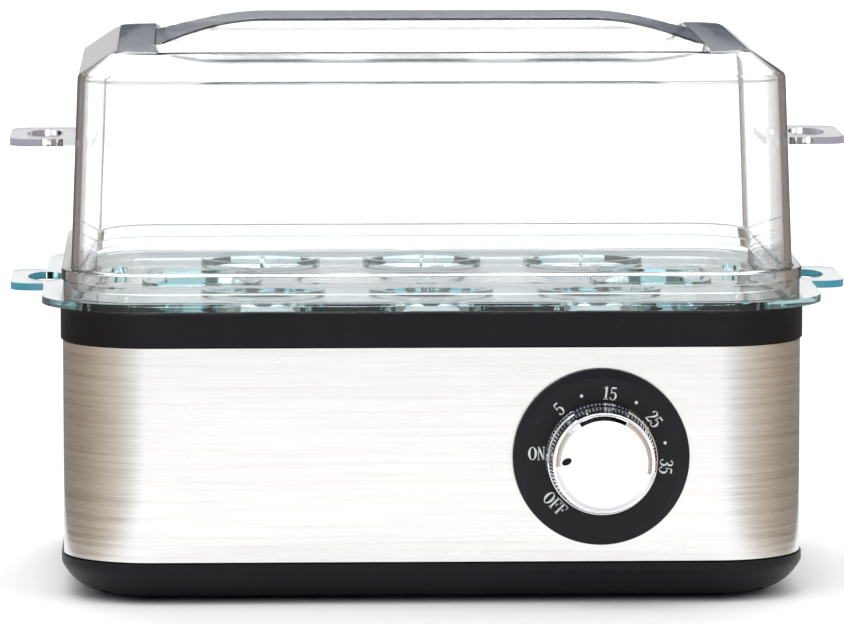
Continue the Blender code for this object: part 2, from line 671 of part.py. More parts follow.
def heater_plate(parent):
    outline = rounded_outline(SPREADER_WIDTH / 2, SPREADER_LENGTH / 2, SPREADER_CORNER)
    low = SPREADER_UNDER
    high = SPREADER_UNDER + SPREADER_THICK
    plate = prism("heater_plate", outline, low, high, ALUMINIUM)
    holes = []
    for side in (-1, 1):
        spot = (side * THERMOSTAT_SCREW_FROM_MIDDLE, 0)
        radius = THERMOSTAT_SCREW_RADIUS + GAP
        holes.append(cylinder("hole", radius, low - OVERRUN, high + OVERRUN, SMALL_STEPS, spot))
    place(shape(plate, holes), parent)


def tube(name, points, radius, shares, finish):
    """A round rod along points; shares give its radius at each point as a share of radius."""
    curve = bpy.data.curves.new(name, "CURVE")
    curve.dimensions = "3D"
    curve.bevel_depth = radius
    curve.bevel_resolution = 2
    curve.use_fill_caps = True
    line = curve.splines.new("POLY")
    line.points.add(len(points) - 1)
    for spot, point, share in zip(line.points, points, shares):
        spot.co = (*point, 1)
        spot.radius = share
    thing = bpy.data.objects.new(name, curve)
    bpy.context.scene.collection.objects.link(thing)
    curve.materials.append(make_material(name, *finish))
    return thing


def heating_element(parent):
    bend_x = ELEMENT_REACH - ELEMENT_BEND
    route = [(bend_x + x, y) for x, y in arc(0, 0, ELEMENT_BEND, -1, 1, ELEMENT_STEPS)]
    route = [(-ELEMENT_REACH, -ELEMENT_BEND)] + route + [(-ELEMENT_REACH, ELEMENT_BEND)]
    pin = ELEMENT_PIN_RADIUS / ELEMENT_RADIUS
    shares = [pin, pin] + [1] * len(route) + [pin, pin]
    for reach in (ELEMENT_SEAL, ELEMENT_PIN):
        route.insert(0, (-ELEMENT_REACH - reach, -ELEMENT_BEND))
        route.append((-ELEMENT_REACH - reach, ELEMENT_BEND))
    points = [(x, y, ELEMENT_HEIGHT) for x, y in route]
    place(tube("heating_element", points, ELEMENT_RADIUS, shares, DARK_STEEL), parent)


def thermostat(parent):
    body = cylinder("thermostat", THERMOSTAT_RADIUS, THERMOSTAT_UNDER, THERMOSTAT_TOP, BORE_STEPS, finish=CERAMIC)
    lug_size = (2 * THERMOSTAT_LUG, THERMOSTAT_LUG_WIDTH, THERMOSTAT_LUG_THICK)
    added = [centred_box("lug", (0, 0, THERMOSTAT_TOP - THERMOSTAT_LUG_THICK / 2), lug_size)]
    for side in (-1, 1):
        low = (side * BLADE_FROM_MIDDLE - BLADE_SHEET / 2, -BLADE_WIDTH / 2, THERMOSTAT_UNDER - BLADE_LENGTH)
        high = (side * BLADE_FROM_MIDDLE + BLADE_SHEET / 2, BLADE_WIDTH / 2, THERMOSTAT_UNDER + EMBED)
        added.append(box("blade", low, high))
    shape(body, added, "UNION")
    lug_under = THERMOSTAT_TOP - THERMOSTAT_LUG_THICK
    holes = []
    for name, side in (("left", -1), ("right", 1)):
        x = side * THERMOSTAT_SCREW_FROM_MIDDLE
        radius = THERMOSTAT_SCREW_RADIUS + GAP
        holes.append(cylinder("hole", radius, lug_under - OVERRUN, THERMOSTAT_TOP + OVERRUN, SMALL_STEPS, (x, 0)))
        length = THERMOSTAT_LUG_THICK + 2 * GAP + SPREADER_THICK
        head = THERMOSTAT_LUG_THICK
        fastener = screw(f"thermostat_screw_{name}", THERMOSTAT_SCREW_RADIUS, THERMOSTAT_SCREW_HEAD, head, length)
        place(fastener, parent, (x, 0, lug_under - GAP), (math.radians(180), 0, 0))
    place(shape(body, holes), parent)


def thermal_fuse(parent):
    fuse = cylinder("thermal_fuse", FUSE_RADIUS, -FUSE_LENGTH / 2, FUSE_LENGTH / 2, SMALL_STEPS, finish=LEAD_WHITE)
    place(fuse, parent, (-FUSE_FROM_MIDDLE, 0, FUSE_HEIGHT), (0, math.radians(90), 0))


# Dial, knob and timer

def front_piece(thing, parent, y):
    """Turns a piece built along +Z to face the front, on the dial's axis."""
    return place(thing, parent, (DIAL_FROM_MIDDLE, y, DIAL_HEIGHT), FACING_FRONT)


def timer_screw_holes(radius, low, high):
    return [cylinder("hole", radius, low, high, SMALL_STEPS, (side * TIMER_SCREW_FROM_AXIS, 0)) for side in (-1, 1)]


def dial_plate(parent):
    bevel = DIAL_THICK - DIAL_BEVEL_UP
    profile = [(DIAL_RADIUS, 0), (DIAL_RADIUS, bevel), (DIAL_RADIUS - DIAL_BEVEL_IN, DIAL_THICK)]
    plate = turned("dial_plate", profile, 2 * ROUND_STEPS, DIAL_PLASTIC)
    low = -OVERRUN
    high = DIAL_THICK + OVERRUN
    cuts = [cylinder("shaft_hole", SHAFT_RADIUS + GAP, low, high, BORE_STEPS)]
    cuts += timer_screw_holes(TIMER_SCREW_RADIUS + GAP, low, high)
    front_piece(shape(plate, cuts), parent, BAND_FRONT - GAP)


def flatted(clearance=0.0):
    """Outline of the shaft's round with its flat, grown by a clearance."""
    radius = SHAFT_RADIUS + clearance
    half = math.acos((SHAFT_FLAT + clearance) / radius) / math.radians(90)
    return arc(0, 0, radius, 1 + half, 5 - half, BORE_STEPS)


def timer_knob(parent):
    rise = KNOB_STEP + KNOB_STEP_SLOPE
    profile = [(KNOB_RADIUS, 0), (KNOB_RADIUS, KNOB_STEP), (KNOB_TIER_RADIUS, rise)]
    profile += [(KNOB_TIER_RADIUS, KNOB_LENGTH - KNOB_FACE_EDGE), (KNOB_FACE_RADIUS, KNOB_LENGTH)]
    knob = turned("timer_knob", profile, 2 * BORE_STEPS, CHROME)
    depth = KNOB_LENGTH - KNOB_CAP
    inner = KNOB_TIER_RADIUS - KNOB_SHELL
    hollow_profile = [(inner, -OVERRUN), (inner, depth), (KNOB_HUB_RADIUS, depth), (KNOB_HUB_RADIUS, -OVERRUN)]
    hollow = turned("hollow", hollow_profile, ROUND_STEPS, ring=True)
    bore = prism("bore", flatted(GAP), -OVERRUN, SHAFT_IN_KNOB + GAP)
    dent = turned("dent", [(DENT_WIDTH * DENT_FOOT_SHARE, -DENT_DEPTH), (DENT_WIDTH / 2, OVERRUN)], SMALL_STEPS)
    x = DENT_FROM_AXIS * math.sin(DENT_ANGLE)
    y = DENT_FROM_AXIS * math.cos(DENT_ANGLE)
    place(dent, None, (x, y, KNOB_LENGTH), (0, 0, math.radians(90) - DENT_ANGLE))
    dent.scale.x = DENT_LENGTH / DENT_WIDTH
    front_piece(shape(knob, [hollow, bore, dent]), parent, KNOB_BACK)


def timer_shaft(parent):
    start = KNOB_BACK - TIMER_BACK - GAP - SHAFT_RECESS + GAP
    shaft = prism("timer_shaft", flatted(), start, SHAFT_IN_KNOB, STEEL)
    front_piece(shaft, parent, KNOB_BACK)


def timer_cam(parent):
    back = KNOB_BACK - TIMER_FACE - CAM_FROM_FRONT - CAM_THICK
    cam = cylinder("timer_cam", CAM_RADIUS, back, back + CAM_THICK, ROUND_STEPS, finish=PALE_PLASTIC)
    notch_size = (CAM_NOTCH, 2 * CAM_NOTCH, CAM_THICK + 2 * OVERRUN)
    notch = centred_box("notch", (0, -CAM_RADIUS, back + CAM_THICK / 2), notch_size)
    bore = prism("bore", flatted(GAP), back - OVERRUN, back + CAM_THICK + OVERRUN)
    front_piece(shape(cam, [notch, bore]), parent, KNOB_BACK)


def timer_case(parent):
    outer = rounded_outline(TIMER_SIDE / 2, TIMER_SIDE / 2, TIMER_CORNER, CORNER_STEPS // 2)
    half = TIMER_SIDE / 2 - TIMER_WALL
    inner = rounded_outline(half, half, TIMER_CORNER - TIMER_WALL, CORNER_STEPS // 2)
    loops = [at_height(outer, 0), at_height(outer, -TIMER_DEPTH)]
    loops += [at_height(inner, -TIMER_DEPTH), at_height(inner, -TIMER_FRONT)]
    case = skin("timer_case", loops, PALE_PLASTIC)
    low = -TIMER_FRONT - OVERRUN
    cuts = [cylinder("bush", SHAFT_RADIUS + GAP, low, OVERRUN, BORE_STEPS)]
    cuts += timer_screw_holes(TIMER_SCREW_RADIUS + GAP, low, OVERRUN)
    front_piece(shape(case, cuts), parent, TIMER_FACE)


def timer_cover(parent):
    """The plate that shuts the case, with slots for the tabs and a boss that holds the bell's stem."""
    outline = rounded_outline(TIMER_SIDE / 2, TIMER_SIDE / 2, TIMER_CORNER, CORNER_STEPS // 2)
    cover = prism("timer_cover", outline, -TIMER_COVER, 0, PALE_PLASTIC)
    boss = cylinder("boss", BELL_BOSS_RADIUS, -TIMER_COVER - BELL_BOSS, -TIMER_COVER + EMBED, BORE_STEPS)
    shape(cover, [boss], "UNION")
    cuts = [cylinder("shaft_recess", SHAFT_RADIUS + GAP, -SHAFT_RECESS, OVERRUN, BORE_STEPS)]
    low = -TIMER_COVER - BELL_BOSS
    cuts.append(cylinder("stem_hole", BELL_STEM_RADIUS + GAP, low - OVERRUN, -TIMER_COVER, SMALL_STEPS))
    for side in (-1, 1):
        centre = (-TAB_FROM_AXIS, side * TAB_FROM_AXIS, -TIMER_COVER / 2)
        size = (BLADE_SHEET + 2 * GAP, BLADE_WIDTH + 2 * GAP, TIMER_COVER + 2 * OVERRUN)
        cuts.append(centred_box("tab_slot", centre, size))
    front_piece(shape(cover, cuts), parent, TIMER_BACK + GAP)


def timer_tabs(parent):
    for name, side in (("live", -1), ("load", 1)):
        x = TAB_X
        z = DIAL_HEIGHT + side * TAB_FROM_AXIS
        low = (x - BLADE_SHEET / 2, TIMER_BACK - TAB_INSIDE, z - BLADE_WIDTH / 2)
        high = (x + BLADE_SHEET / 2, TAB_BACK, z + BLADE_WIDTH / 2)
        place(box(f"timer_tab_{name}", low, high, BRASS), parent)


def timer_bell(parent):
    """A domed bell on a stem; its open side faces the cover."""
    stem_end = BELL_BOSS - GAP
    rim = BELL_BOSS + GAP
    crown = rim + BELL_HEIGHT
    inner = BELL_RADIUS - BELL_SHEET
    shoulder = rim + BELL_HEIGHT / 2
    profile = [(BELL_STEM_RADIUS, rim - stem_end), (BELL_STEM_RADIUS, crown - BELL_SHEET)]
    profile += [(inner * BELL_CROWN_SHARE, crown - BELL_SHEET), (inner, shoulder), (inner, rim)]
    profile += [(BELL_RADIUS, rim), (BELL_RADIUS, shoulder), (BELL_RADIUS * BELL_CROWN_SHARE, crown)]
    bell = turned("timer_bell", [(r, -h) for r, h in profile], BORE_STEPS, STEEL)
    front_piece(bell, parent, COVER_BACK)


def timer_screws(parent):
    for name, side in (("left", -1), ("right", 1)):
        head = TIMER_SCREW_HEAD_RADIUS
        body = screw(f"timer_screw_{name}", TIMER_SCREW_RADIUS, head, TIMER_SCREW_HEAD, TIMER_SCREW_LENGTH)
        x = DIAL_FROM_MIDDLE + side * TIMER_SCREW_FROM_AXIS
        place(body, parent, (x, DIAL_FRONT - GAP, DIAL_HEIGHT), FACING_FRONT)


# Mains joints, gland and leads

def terminal_block(parent):
    low = (BLOCK_X - BLOCK_WIDTH / 2, BLOCK_Y - BLOCK_LENGTH / 2, BLOCK_UNDER)
    high = (BLOCK_X + BLOCK_WIDTH / 2, BLOCK_Y + BLOCK_LENGTH / 2, BLOCK_TOP)
    block = box("terminal_block", low, high, PALE_PLASTIC)
    spot = (BLOCK_SCREW_X, BLOCK_SCREW_Y)
    radius = BLOCK_SCREW_RADIUS
    cuts = [cylinder("hole", radius + GAP, BLOCK_UNDER - OVERRUN, BLOCK_TOP + OVERRUN, SMALL_STEPS, spot)]
    for i in range(BLOCK_WAYS):
        way = cylinder("way", BLOCK_WAY_RADIUS, -BLOCK_WAY_DEPTH, OVERRUN, SMALL_STEPS)
        x, y, z = block_way(i)
        cuts.append(place(way, None, (x, y, z), FACING_FRONT))
    place(shape(block, cuts), parent)
    length = BLOCK_HEIGHT + 2 * GAP + BLOCK_SCREW_HOLD - GAP
    fastener = screw("terminal_screw", radius, BLOCK_SCREW_HEAD_RADIUS, BLOCK_SCREW_HEAD, length)
    place(fastener, parent, (*spot, BLOCK_TOP + GAP))


def block_way(i):
    """The middle of a way's mouth on the block's front face."""
    x = BLOCK_X + (i - (BLOCK_WAYS - 1) / 2) * BLOCK_PITCH
    return x, BLOCK_Y - BLOCK_LENGTH / 2, BLOCK_UNDER + BLOCK_HEIGHT / 2


def cord_gland(parent):
    """A rubber bush that grips the band's edge; the cord would pass through its bore."""
    outer = GAP + GLAND_FLANGE_THICK
    inner = -BAND_SHEET - GAP
    section = [(GLAND_BORE, inner - GLAND_FLANGE_THICK), (GLAND_BORE, outer), (GLAND_FLANGE, outer)]
    section += [(GLAND_FLANGE, GAP), (GLAND_NECK, GAP), (GLAND_NECK, inner), (GLAND_FLANGE, inner)]
    section += [(GLAND_FLANGE, inner - GLAND_FLANGE_THICK)]
    gland = turned("cord_gland", section, BORE_STEPS, RUBBER, ring=True)
    place(gland, parent, (GLAND_X, -BAND_FRONT, GLAND_HEIGHT), (math.radians(-90), 0, 0))


def lead(name, start, leaving, end, arriving, pull, finish, parent):
    """A soft curve from start to end; leaving and arriving are the directions away from each end."""
    first = Vector(start)
    last = Vector(end)
    near = first + Vector(leaving) * pull
    far = last + Vector(arriving) * pull
    points = []
    for i in range(LEAD_STEPS + 1):
        t = i / LEAD_STEPS
        u = 1 - t
        points.append(u**3 * first + 3 * u * u * t * near + 3 * u * t * t * far + t**3 * last)
    place(tube(name, points, LEAD_RADIUS, [1] * len(points), finish), parent)


def leads(parent):
    ways = []
    for i in range(BLOCK_WAYS):
        x, y, z = block_way(i)
        ways.append((x, y + BLOCK_WAY_DEPTH - GAP, z))
    tab_live = (TAB_X, TAB_BACK + GAP, DIAL_HEIGHT - TAB_FROM_AXIS)
    tab_load = (TAB_X, TAB_BACK + GAP, DIAL_HEIGHT + TAB_FROM_AXIS)
    blade = THERMOSTAT_UNDER - BLADE_LENGTH - GAP
    fuse = FUSE_LENGTH / 2 + GAP
    pin_x = -ELEMENT_REACH - ELEMENT_PIN - GAP
    left, front, back, down = (-1, 0, 0), (0, -1, 0), (0, 1, 0), (0, 0, -1)
    stud = (-STUD_FROM_MIDDLE, 0, BOWL_UNDER - STUD_LENGTH - GAP)
    lead("lead_live", ways[2], front, tab_live, back, LONG_PULL, LEAD_BROWN, parent)
    lead("lead_timer", tab_load, back, (BLADE_FROM_MIDDLE, 0, blade), down, LEAD_PULL, LEAD_BROWN, parent)
    fuse_end = (-FUSE_FROM_MIDDLE + fuse, 0, FUSE_HEIGHT)
    lead("lead_heater", (-BLADE_FROM_MIDDLE, 0, blade), down, fuse_end, (1, 0, 0), FUSE_LENGTH / 2, LEAD_WHITE, parent)
    pin_front = (pin_x, -ELEMENT_BEND, ELEMENT_HEIGHT)
    lead("lead_fuse", (-FUSE_FROM_MIDDLE - fuse, 0, FUSE_HEIGHT), left, pin_front, left, FUSE_LENGTH, LEAD_WHITE, parent)
    pin_back = (pin_x, ELEMENT_BEND, ELEMENT_HEIGHT)
    lead("lead_neutral", ways[1], front, pin_back, left, LONG_PULL, LEAD_BLUE, parent)
    lead("lead_earth", ways[0], front, stud, down, LONG_PULL, LEAD_GREEN, parent)


# Tray and lid

def eared_outline(half_x, half_y, radius):
    """A rectangle with round corners and an ear on each side."""
    inner_round = EAR_ROUND / 2
    right = arc(EAR_TIP - EAR_ROUND, EAR_HALF_DEPTH - EAR_ROUND, EAR_ROUND, 0, 1, CORNER_STEPS // 2)
    right += arc(half_x + inner_round, EAR_HALF_DEPTH + inner_round, inner_round, 3, 2, CORNER_STEPS // 2)
    right += arc(half_x - radius, half_y - radius, radius, 0, 1, CORNER_STEPS)
    back = right + [(-x, y) for x, y in reversed(right)]
    return back + [(-x, -y) for x, y in back]


def ear_holes(low, high):
    cutters = []
    straight = EAR_HOLE_HALF - EAR_HOLE_RADIUS
    for side in (-1, 1):
        x = side * (EAR_TIP - EAR_HOLE_FROM_TIP)
        outline = arc(x, straight, EAR_HOLE_RADIUS, 0, 2, CORNER_STEPS)
        outline += arc(x, -straight, EAR_HOLE_RADIUS, 2, 4, CORNER_STEPS)
        cutters.append(prism("ear_hole", outline, low - OVERRUN, high + OVERRUN))
    return cutters


def seats():
    """Where the seats lie: two rows of three, and one at each end of the middle row."""
    for row in (-1, 1):
        for column in (-1, 0, 1):
            yield column * SEAT_PITCH, row * SEAT_ROW
    for side in (-1, 1):
        yield side * SEAT_END, 0


def egg_tray(parent):
    half_x = BODY_WIDTH / 2 + TRAY_SIDE_REACH
    half_y = BODY_DEPTH / 2 + TRAY_FRONT_REACH
    tray = prism("egg_tray", eared_outline(half_x, half_y, TRAY_CORNER), 0, TRAY_PLATE, AQUA)
    rim = [(TRAY_RIM_INSET, EMBED), (TRAY_RIM_INSET, TRAY_PLATE + TRAY_RIM_HEIGHT)]
    rim += [(inset + TRAY_RIM_WALL, z) for inset, z in reversed(rim)]
    skirt = [(SKIRT_INSET, -TRAY_SKIRT_HEIGHT), (SKIRT_INSET, EMBED)]
    skirt += [(inset + TRAY_SKIRT_WALL, z) for inset, z in reversed(skirt)]
    added = [skin("wall", [body_loop(inset, z) for inset, z in wall], ring=True) for wall in (rim, skirt)]
    collar = SEAT_RADIUS + SEAT_WALL
    high = TRAY_PLATE + SEAT_RISE
    added += [cylinder("collar", collar, -SEAT_DROP, high, SEAT_STEPS, spot) for spot in seats()]
    shape(tray, added, "UNION")
    low = -SEAT_DROP - OVERRUN
    cuts = [cylinder("seat", SEAT_RADIUS, low, high + OVERRUN, SEAT_STEPS, spot) for spot in seats()]
    cuts += ear_holes(0, TRAY_PLATE)
    for _, x, y in corners(SLOT_FROM_MIDDLE, SLOT_FROM_CENTRE_LINE):
        outline = [(x + a, y + b) for a, b in rounded_outline(SLOT_WIDTH / 2, SLOT_LENGTH / 2, SLOT_WIDTH / 3, 2)]
        cuts.append(prism("slot", outline, -OVERRUN, TRAY_PLATE + OVERRUN))
    for side in (-1, 0, 1):
        spot = (side * STEAM_FROM_MIDDLE, 0)
        cuts.append(cylinder("steam_hole", STEAM_RADIUS, -OVERRUN, TRAY_PLATE + OVERRUN, SMALL_STEPS, spot))
    for end in (-1, 1):
        for i in (-1, 0, 1):
            size = (NOTCH_WIDTH, 2 * NOTCH_DEPTH, TRAY_PLATE + 2 * OVERRUN)
            cuts.append(centred_box("notch", (i * NOTCH_PITCH, end * half_y, TRAY_PLATE / 2), size))
    place(shape(tray, cuts), parent, (0, 0, TRAY_UNDER))


def grip_stations(flat_radius):
    """Places along X where the lid's top is drawn: (x, core x, direction x, direction y)."""
    core = BODY_WIDTH / 2 - BODY_CORNER
    half = []
    for i in range(CORNER_STEPS // 2 + 1):
        turn = math.radians(90) * 2 * i / CORNER_STEPS
        half.append((core + flat_radius * math.cos(turn), core, math.cos(turn), math.sin(turn)))
    along = [GRIP_HALF_LENGTH - GRIP_RAMP * share for share in RAMP_SHARES]
    along += [(GRIP_HALF_LENGTH - GRIP_RAMP) * share for share in MIDDLE_SHARES]
    half += [(x, x, 0, 1) for x in along]
    return half + [(-x, -core_x, -dx, dy) for x, core_x, dx, dy in reversed(half[:-1])]


def ramp(x, length):
    """How far the grip has risen at x, from 0 at its ends to 1, and how far along its ramp that is."""
    along = min(max((GRIP_HALF_LENGTH - abs(x)) / length, 0), 1)
    return math.sin(math.radians(90) * along), along


def top_heights(x, depth):
    """Half of the top's section at x: (y, height above the flat) from the middle to the edge."""
    rise, along = ramp(x, GRIP_RAMP)
    scoop, _ = ramp(x, SCOOP_RAMP)
    scoop = math.sqrt(scoop)
    edge = GRIP_HALF_DEPTH + (GRIP_END_HALF_DEPTH - GRIP_HALF_DEPTH) * (1 - along) ** 3
    edge = min(edge, depth * GRIP_END_HALF_DEPTH / (GRIP_END_HALF_DEPTH + GRIP_HALF_DEPTH))
    rows = [(0, GRIP_RISE * rise), (edge / 2, GRIP_RISE * rise), (edge, GRIP_RISE * rise)]
    for across, left, reached in SCOOP_SHARES:
        rows.append((edge + (depth - edge) * across, GRIP_RISE * rise * left - SCOOP_DEPTH * scoop * reached))
    return rows


def lid_top(flat_radius, z):
    """A grid of points over the lid's flat, grip and scoops: one column for each station along X."""
    core = BODY_DEPTH / 2 - BODY_CORNER
    grid = []
    for x, core_x, dx, dy in grip_stations(flat_radius):
        half = top_heights(x, core + flat_radius * dy)
        column = [(-y, h) for y, h in reversed(half[1:])] + half
        grid.append([Vector((x, y, z + h)) for y, h in column])
    return grid


def lid_loop(inset, z, rows):
    """A loop round the lid that meets the top's grid point for point."""
    radius = BODY_CORNER - inset
    core_y = BODY_DEPTH / 2 - BODY_CORNER
    stations = grip_stations(radius)
    side_x = stations[0][0]
    front = [Vector((x, -core_y - radius * dy, z)) for x, _, _, dy in stations]
    back = [Vector((x, core_y + radius * dy, z)) for x, _, _, dy in stations]
    left = [Vector((-side_x, y, z)) for y in rows]
    right = [Vector((side_x, y, z)) for y in rows]
    return front + left + back[::-1] + right[::-1]


def add_lid_shell(work, section, top):
    """Joins the loops of one side of the lid's wall to each other and to its top."""
    rows = [point.y for point in top[0][1:-1]]
    loops = [[work.verts.new(point) for point in lid_loop(inset, z, rows)] for inset, z in section]
    grid = [[work.verts.new(point) for point in column] for column in top]
    rim = [column[0] for column in grid] + grid[-1][1:-1]
    rim += [column[-1] for column in reversed(grid)] + grid[0][-2:0:-1]
    loops.append(rim)
    for low, high in zip(loops, loops[1:]):
        for i in range(len(low)):
            j = (i + 1) % len(low)
            work.faces.new((low[i], low[j], high[j], high[i]))
    for near, far in zip(grid, grid[1:]):
        for i in range(len(near) - 1):
            work.faces.new((near[i], near[i + 1], far[i + 1], far[i]))
    return loops[0]


def lid(parent):
    lean = math.atan2(LID_CHAMFER_UP, LID_CHAMFER_IN)
    flange = LID_FLANGE_TOP - LID_UNDER
    shoulder = LID_SHOULDER - LID_UNDER
    edge = LID_EDGE - LID_UNDER
    flat = LID_FLAT - LID_UNDER
    wall_top = LID_SETBACK + LID_DRAFT
    edge_inset = wall_top + LID_CHAMFER_IN
    flat_inset = edge_inset + LID_ROUND_IN
    lip = TRAY_RIM_INSET + TRAY_RIM_WALL + GAP
    outside = [(LID_FLANGE_INSET, 0), (LID_FLANGE_INSET, flange), (LID_SETBACK, flange)]
    outside += [(wall_top, shoulder), (edge_inset, edge)]
    tuck = LID_WALL * (1 - math.cos(lean)) / math.sin(lean)
    inner_lip = lip + LID_LIP_WALL
    inside = [(lip, 0), (lip, -LID_LIP_DROP), (inner_lip, -LID_LIP_DROP), (inner_lip, flange - LID_WALL)]
    inside += [(LID_SETBACK + LID_WALL, flange), (wall_top + LID_WALL, shoulder - LID_WALL * math.tan(lean / 2))]
    inside += [(edge_inset + tuck, edge - LID_WALL + LID_ROUND_UP)]
    work = bmesh.new()
    outer_rim = add_lid_shell(work, outside, lid_top(BODY_CORNER - flat_inset, flat))
    inner_rim = add_lid_shell(work, inside, lid_top(BODY_CORNER - flat_inset - tuck, flat - LID_WALL))
    for i in range(len(outer_rim)):
        j = (i + 1) % len(outer_rim)
        work.faces.new((outer_rim[i], outer_rim[j], inner_rim[j], inner_rim[i]))
    cover = from_mesh_data(work, "lid", CLEAR)
    wall = LID_SETBACK + LID_DRAFT * LID_EAR_UP / LID_WALL_HEIGHT
    root = BODY_WIDTH / 2 - wall - LID_WALL + EMBED
    ears = []
    for side in (-1, 1):
        half = arc(EAR_TIP - EAR_ROUND, EAR_HALF_DEPTH - EAR_ROUND, EAR_ROUND, 0, 1, CORNER_STEPS // 2)
        half += [(root, EAR_HALF_DEPTH)]
        outline = half + [(x, -y) for x, y in reversed(half)]
        ears.append(prism("ear", [(side * x, y) for x, y in outline], LID_EAR_UP - EAR_THICK, LID_EAR_UP))
    shape(cover, ears, "UNION")
    shape(cover, ear_holes(LID_EAR_UP - EAR_THICK, LID_EAR_UP))
    place(cover, parent, (0, 0, LID_UNDER))


def build():
    clear_scene()
    body = bpy.data.objects.new("boiler", None)
    bpy.context.scene.collection.objects.link(body)
    body.location.y = BODY_SHIFT
    base(body)
    feet(body)
    base_screws(body)
    steel_band(body)
    bezel(body)
    pan_seal(body)
    heating_pan(body)
    pan_straps(body)
    heater_plate(body)
    heating_element(body)
    thermostat(body)
    thermal_fuse(body)
    dial_plate(body)
    timer_case(body)
    timer_cover(body)
    timer_tabs(body)
    timer_bell(body)
    timer_screws(body)
    terminal_block(body)
    cord_gland(body)
    leads(body)
    timer_shaft(body)
    timer_cam(body)
    timer_knob(body)
    egg_tray(body)
    lid(body)
    bpy.context.view_layer.update()


build()
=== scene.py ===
# %% [markdown]
# # A small electric boiler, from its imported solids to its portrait
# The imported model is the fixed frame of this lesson. It says where every piece lies and how it moves, but its
# shapes are plain and its colours flat. The cells below keep each piece where the frame has it and give it the
# finer shape and the finish that the real one has. Lengths are in metres, +Z is up and the front faces -Y.

# %% Load the frame
import json
import math

import bmesh
import bpy
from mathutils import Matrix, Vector


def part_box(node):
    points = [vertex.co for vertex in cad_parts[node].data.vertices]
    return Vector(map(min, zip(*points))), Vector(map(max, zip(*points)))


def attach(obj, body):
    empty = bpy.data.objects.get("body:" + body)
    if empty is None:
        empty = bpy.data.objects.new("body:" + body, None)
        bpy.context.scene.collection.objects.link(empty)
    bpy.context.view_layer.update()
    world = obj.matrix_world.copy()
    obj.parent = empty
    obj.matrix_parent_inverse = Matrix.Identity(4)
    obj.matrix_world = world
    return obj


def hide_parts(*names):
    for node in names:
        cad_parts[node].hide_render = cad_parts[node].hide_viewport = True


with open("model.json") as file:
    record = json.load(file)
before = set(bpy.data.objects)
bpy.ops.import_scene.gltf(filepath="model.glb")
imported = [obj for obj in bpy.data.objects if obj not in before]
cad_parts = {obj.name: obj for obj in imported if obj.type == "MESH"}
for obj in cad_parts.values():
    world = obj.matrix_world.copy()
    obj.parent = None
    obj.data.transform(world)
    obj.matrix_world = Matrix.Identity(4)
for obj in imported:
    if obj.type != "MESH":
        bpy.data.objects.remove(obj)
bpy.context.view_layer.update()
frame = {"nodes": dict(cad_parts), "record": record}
cad = frame["nodes"]
RING_LOW, RING_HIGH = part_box("bezel")
MIDDLE_Y = (RING_LOW.y + RING_HIGH.y) / 2
HALF_WIDTH = (RING_HIGH.x - RING_LOW.x) / 2
HALF_DEPTH = (RING_HIGH.y - RING_LOW.y) / 2
BODY_CORNER = 0.025
GAP = 0.0003
print("nodes:", len(cad), "body half width and depth:", round(HALF_WIDTH, 4), round(HALF_DEPTH, 4))

# %% [markdown]
# ## Camera
# The portrait was taken from far away with a long lens, a little above the table and a little to the left of the
# middle. Its place and lens were fitted to the ring, the band, the dial and the lid's edges, so it is typed in.

# %% Camera
LENS = 293.36
CAMERA_PLACE = (-0.0625, -1.88256, 0.28002)
CAMERA_DOWN = 6.322
CAMERA_RIGHT = 1.861
RAY_BOUNCES = 64


def add_camera():
    data = bpy.data.cameras.new("portrait_camera")
    data.lens = LENS
    data.sensor_width = 36
    data.clip_start = 0.05
    data.clip_end = 60
    camera = bpy.data.objects.new("portrait_camera", data)
    bpy.context.scene.collection.objects.link(camera)
    camera.location = CAMERA_PLACE
    camera.rotation_euler = (math.radians(90 - CAMERA_DOWN), 0, math.radians(-CAMERA_RIGHT))
    bpy.context.scene.camera = camera
    bpy.context.scene.view_settings.view_transform = "Standard"
    paths = bpy.context.scene.cycles
    paths.max_bounces = paths.transmission_bounces = paths.transparent_max_bounces = RAY_BOUNCES
    print("camera at", tuple(round(v, 3) for v in camera.location))


add_camera()

# %% [markdown]
# ## Hands
# Everything is shaped in edit mode the way one would by hand: start a primitive, pick faces by their place, inset
# them and extrude them. These helpers hold the few moves that every piece below repeats.

# %% Helpers for shaping


def lay_down():
    """Leaves edit mode with nothing selected."""
    if bpy.context.object and bpy.context.object.mode != "OBJECT":
        bpy.ops.object.mode_set(mode="OBJECT")
    bpy.ops.object.select_all(action="DESELECT")


def hold(piece):
    """Makes one piece the selected and active one."""
    lay_down()
    piece.select_set(True)
    bpy.context.view_layer.objects.active = piece
    return piece


def started(name):
    """Names a new primitive, puts its place into its mesh and opens it in edit mode."""
    piece = bpy.context.object
    piece.name = piece.data.name = name
    bpy.ops.object.transform_apply(location=True, rotation=True, scale=True)
    bpy.ops.object.mode_set(mode="EDIT")
    return piece


def pick(rule, kind="faces"):
    """Selects the faces, edges or points whose middle (and normal, for faces) fit the rule."""
    work = bmesh.from_edit_mesh(bpy.context.edit_object.data)
    bpy.ops.mesh.select_mode(type={"faces": "FACE", "edges": "EDGE", "verts": "VERT"}[kind])
    bpy.ops.mesh.select_all(action="DESELECT")
    chosen = 0
    for part in getattr(work, kind):
        if kind == "faces":
            fits = rule(part.calc_center_median(), part.normal)
        elif kind == "edges":
            fits = rule((part.verts[0].co + part.verts[1].co) / 2)
        else:
            fits = rule(part.co)
        if fits:
            part.select_set(True)
            chosen += 1
    work.select_flush_mode()
    bmesh.update_edit_mesh(bpy.context.edit_object.data)
    return chosen


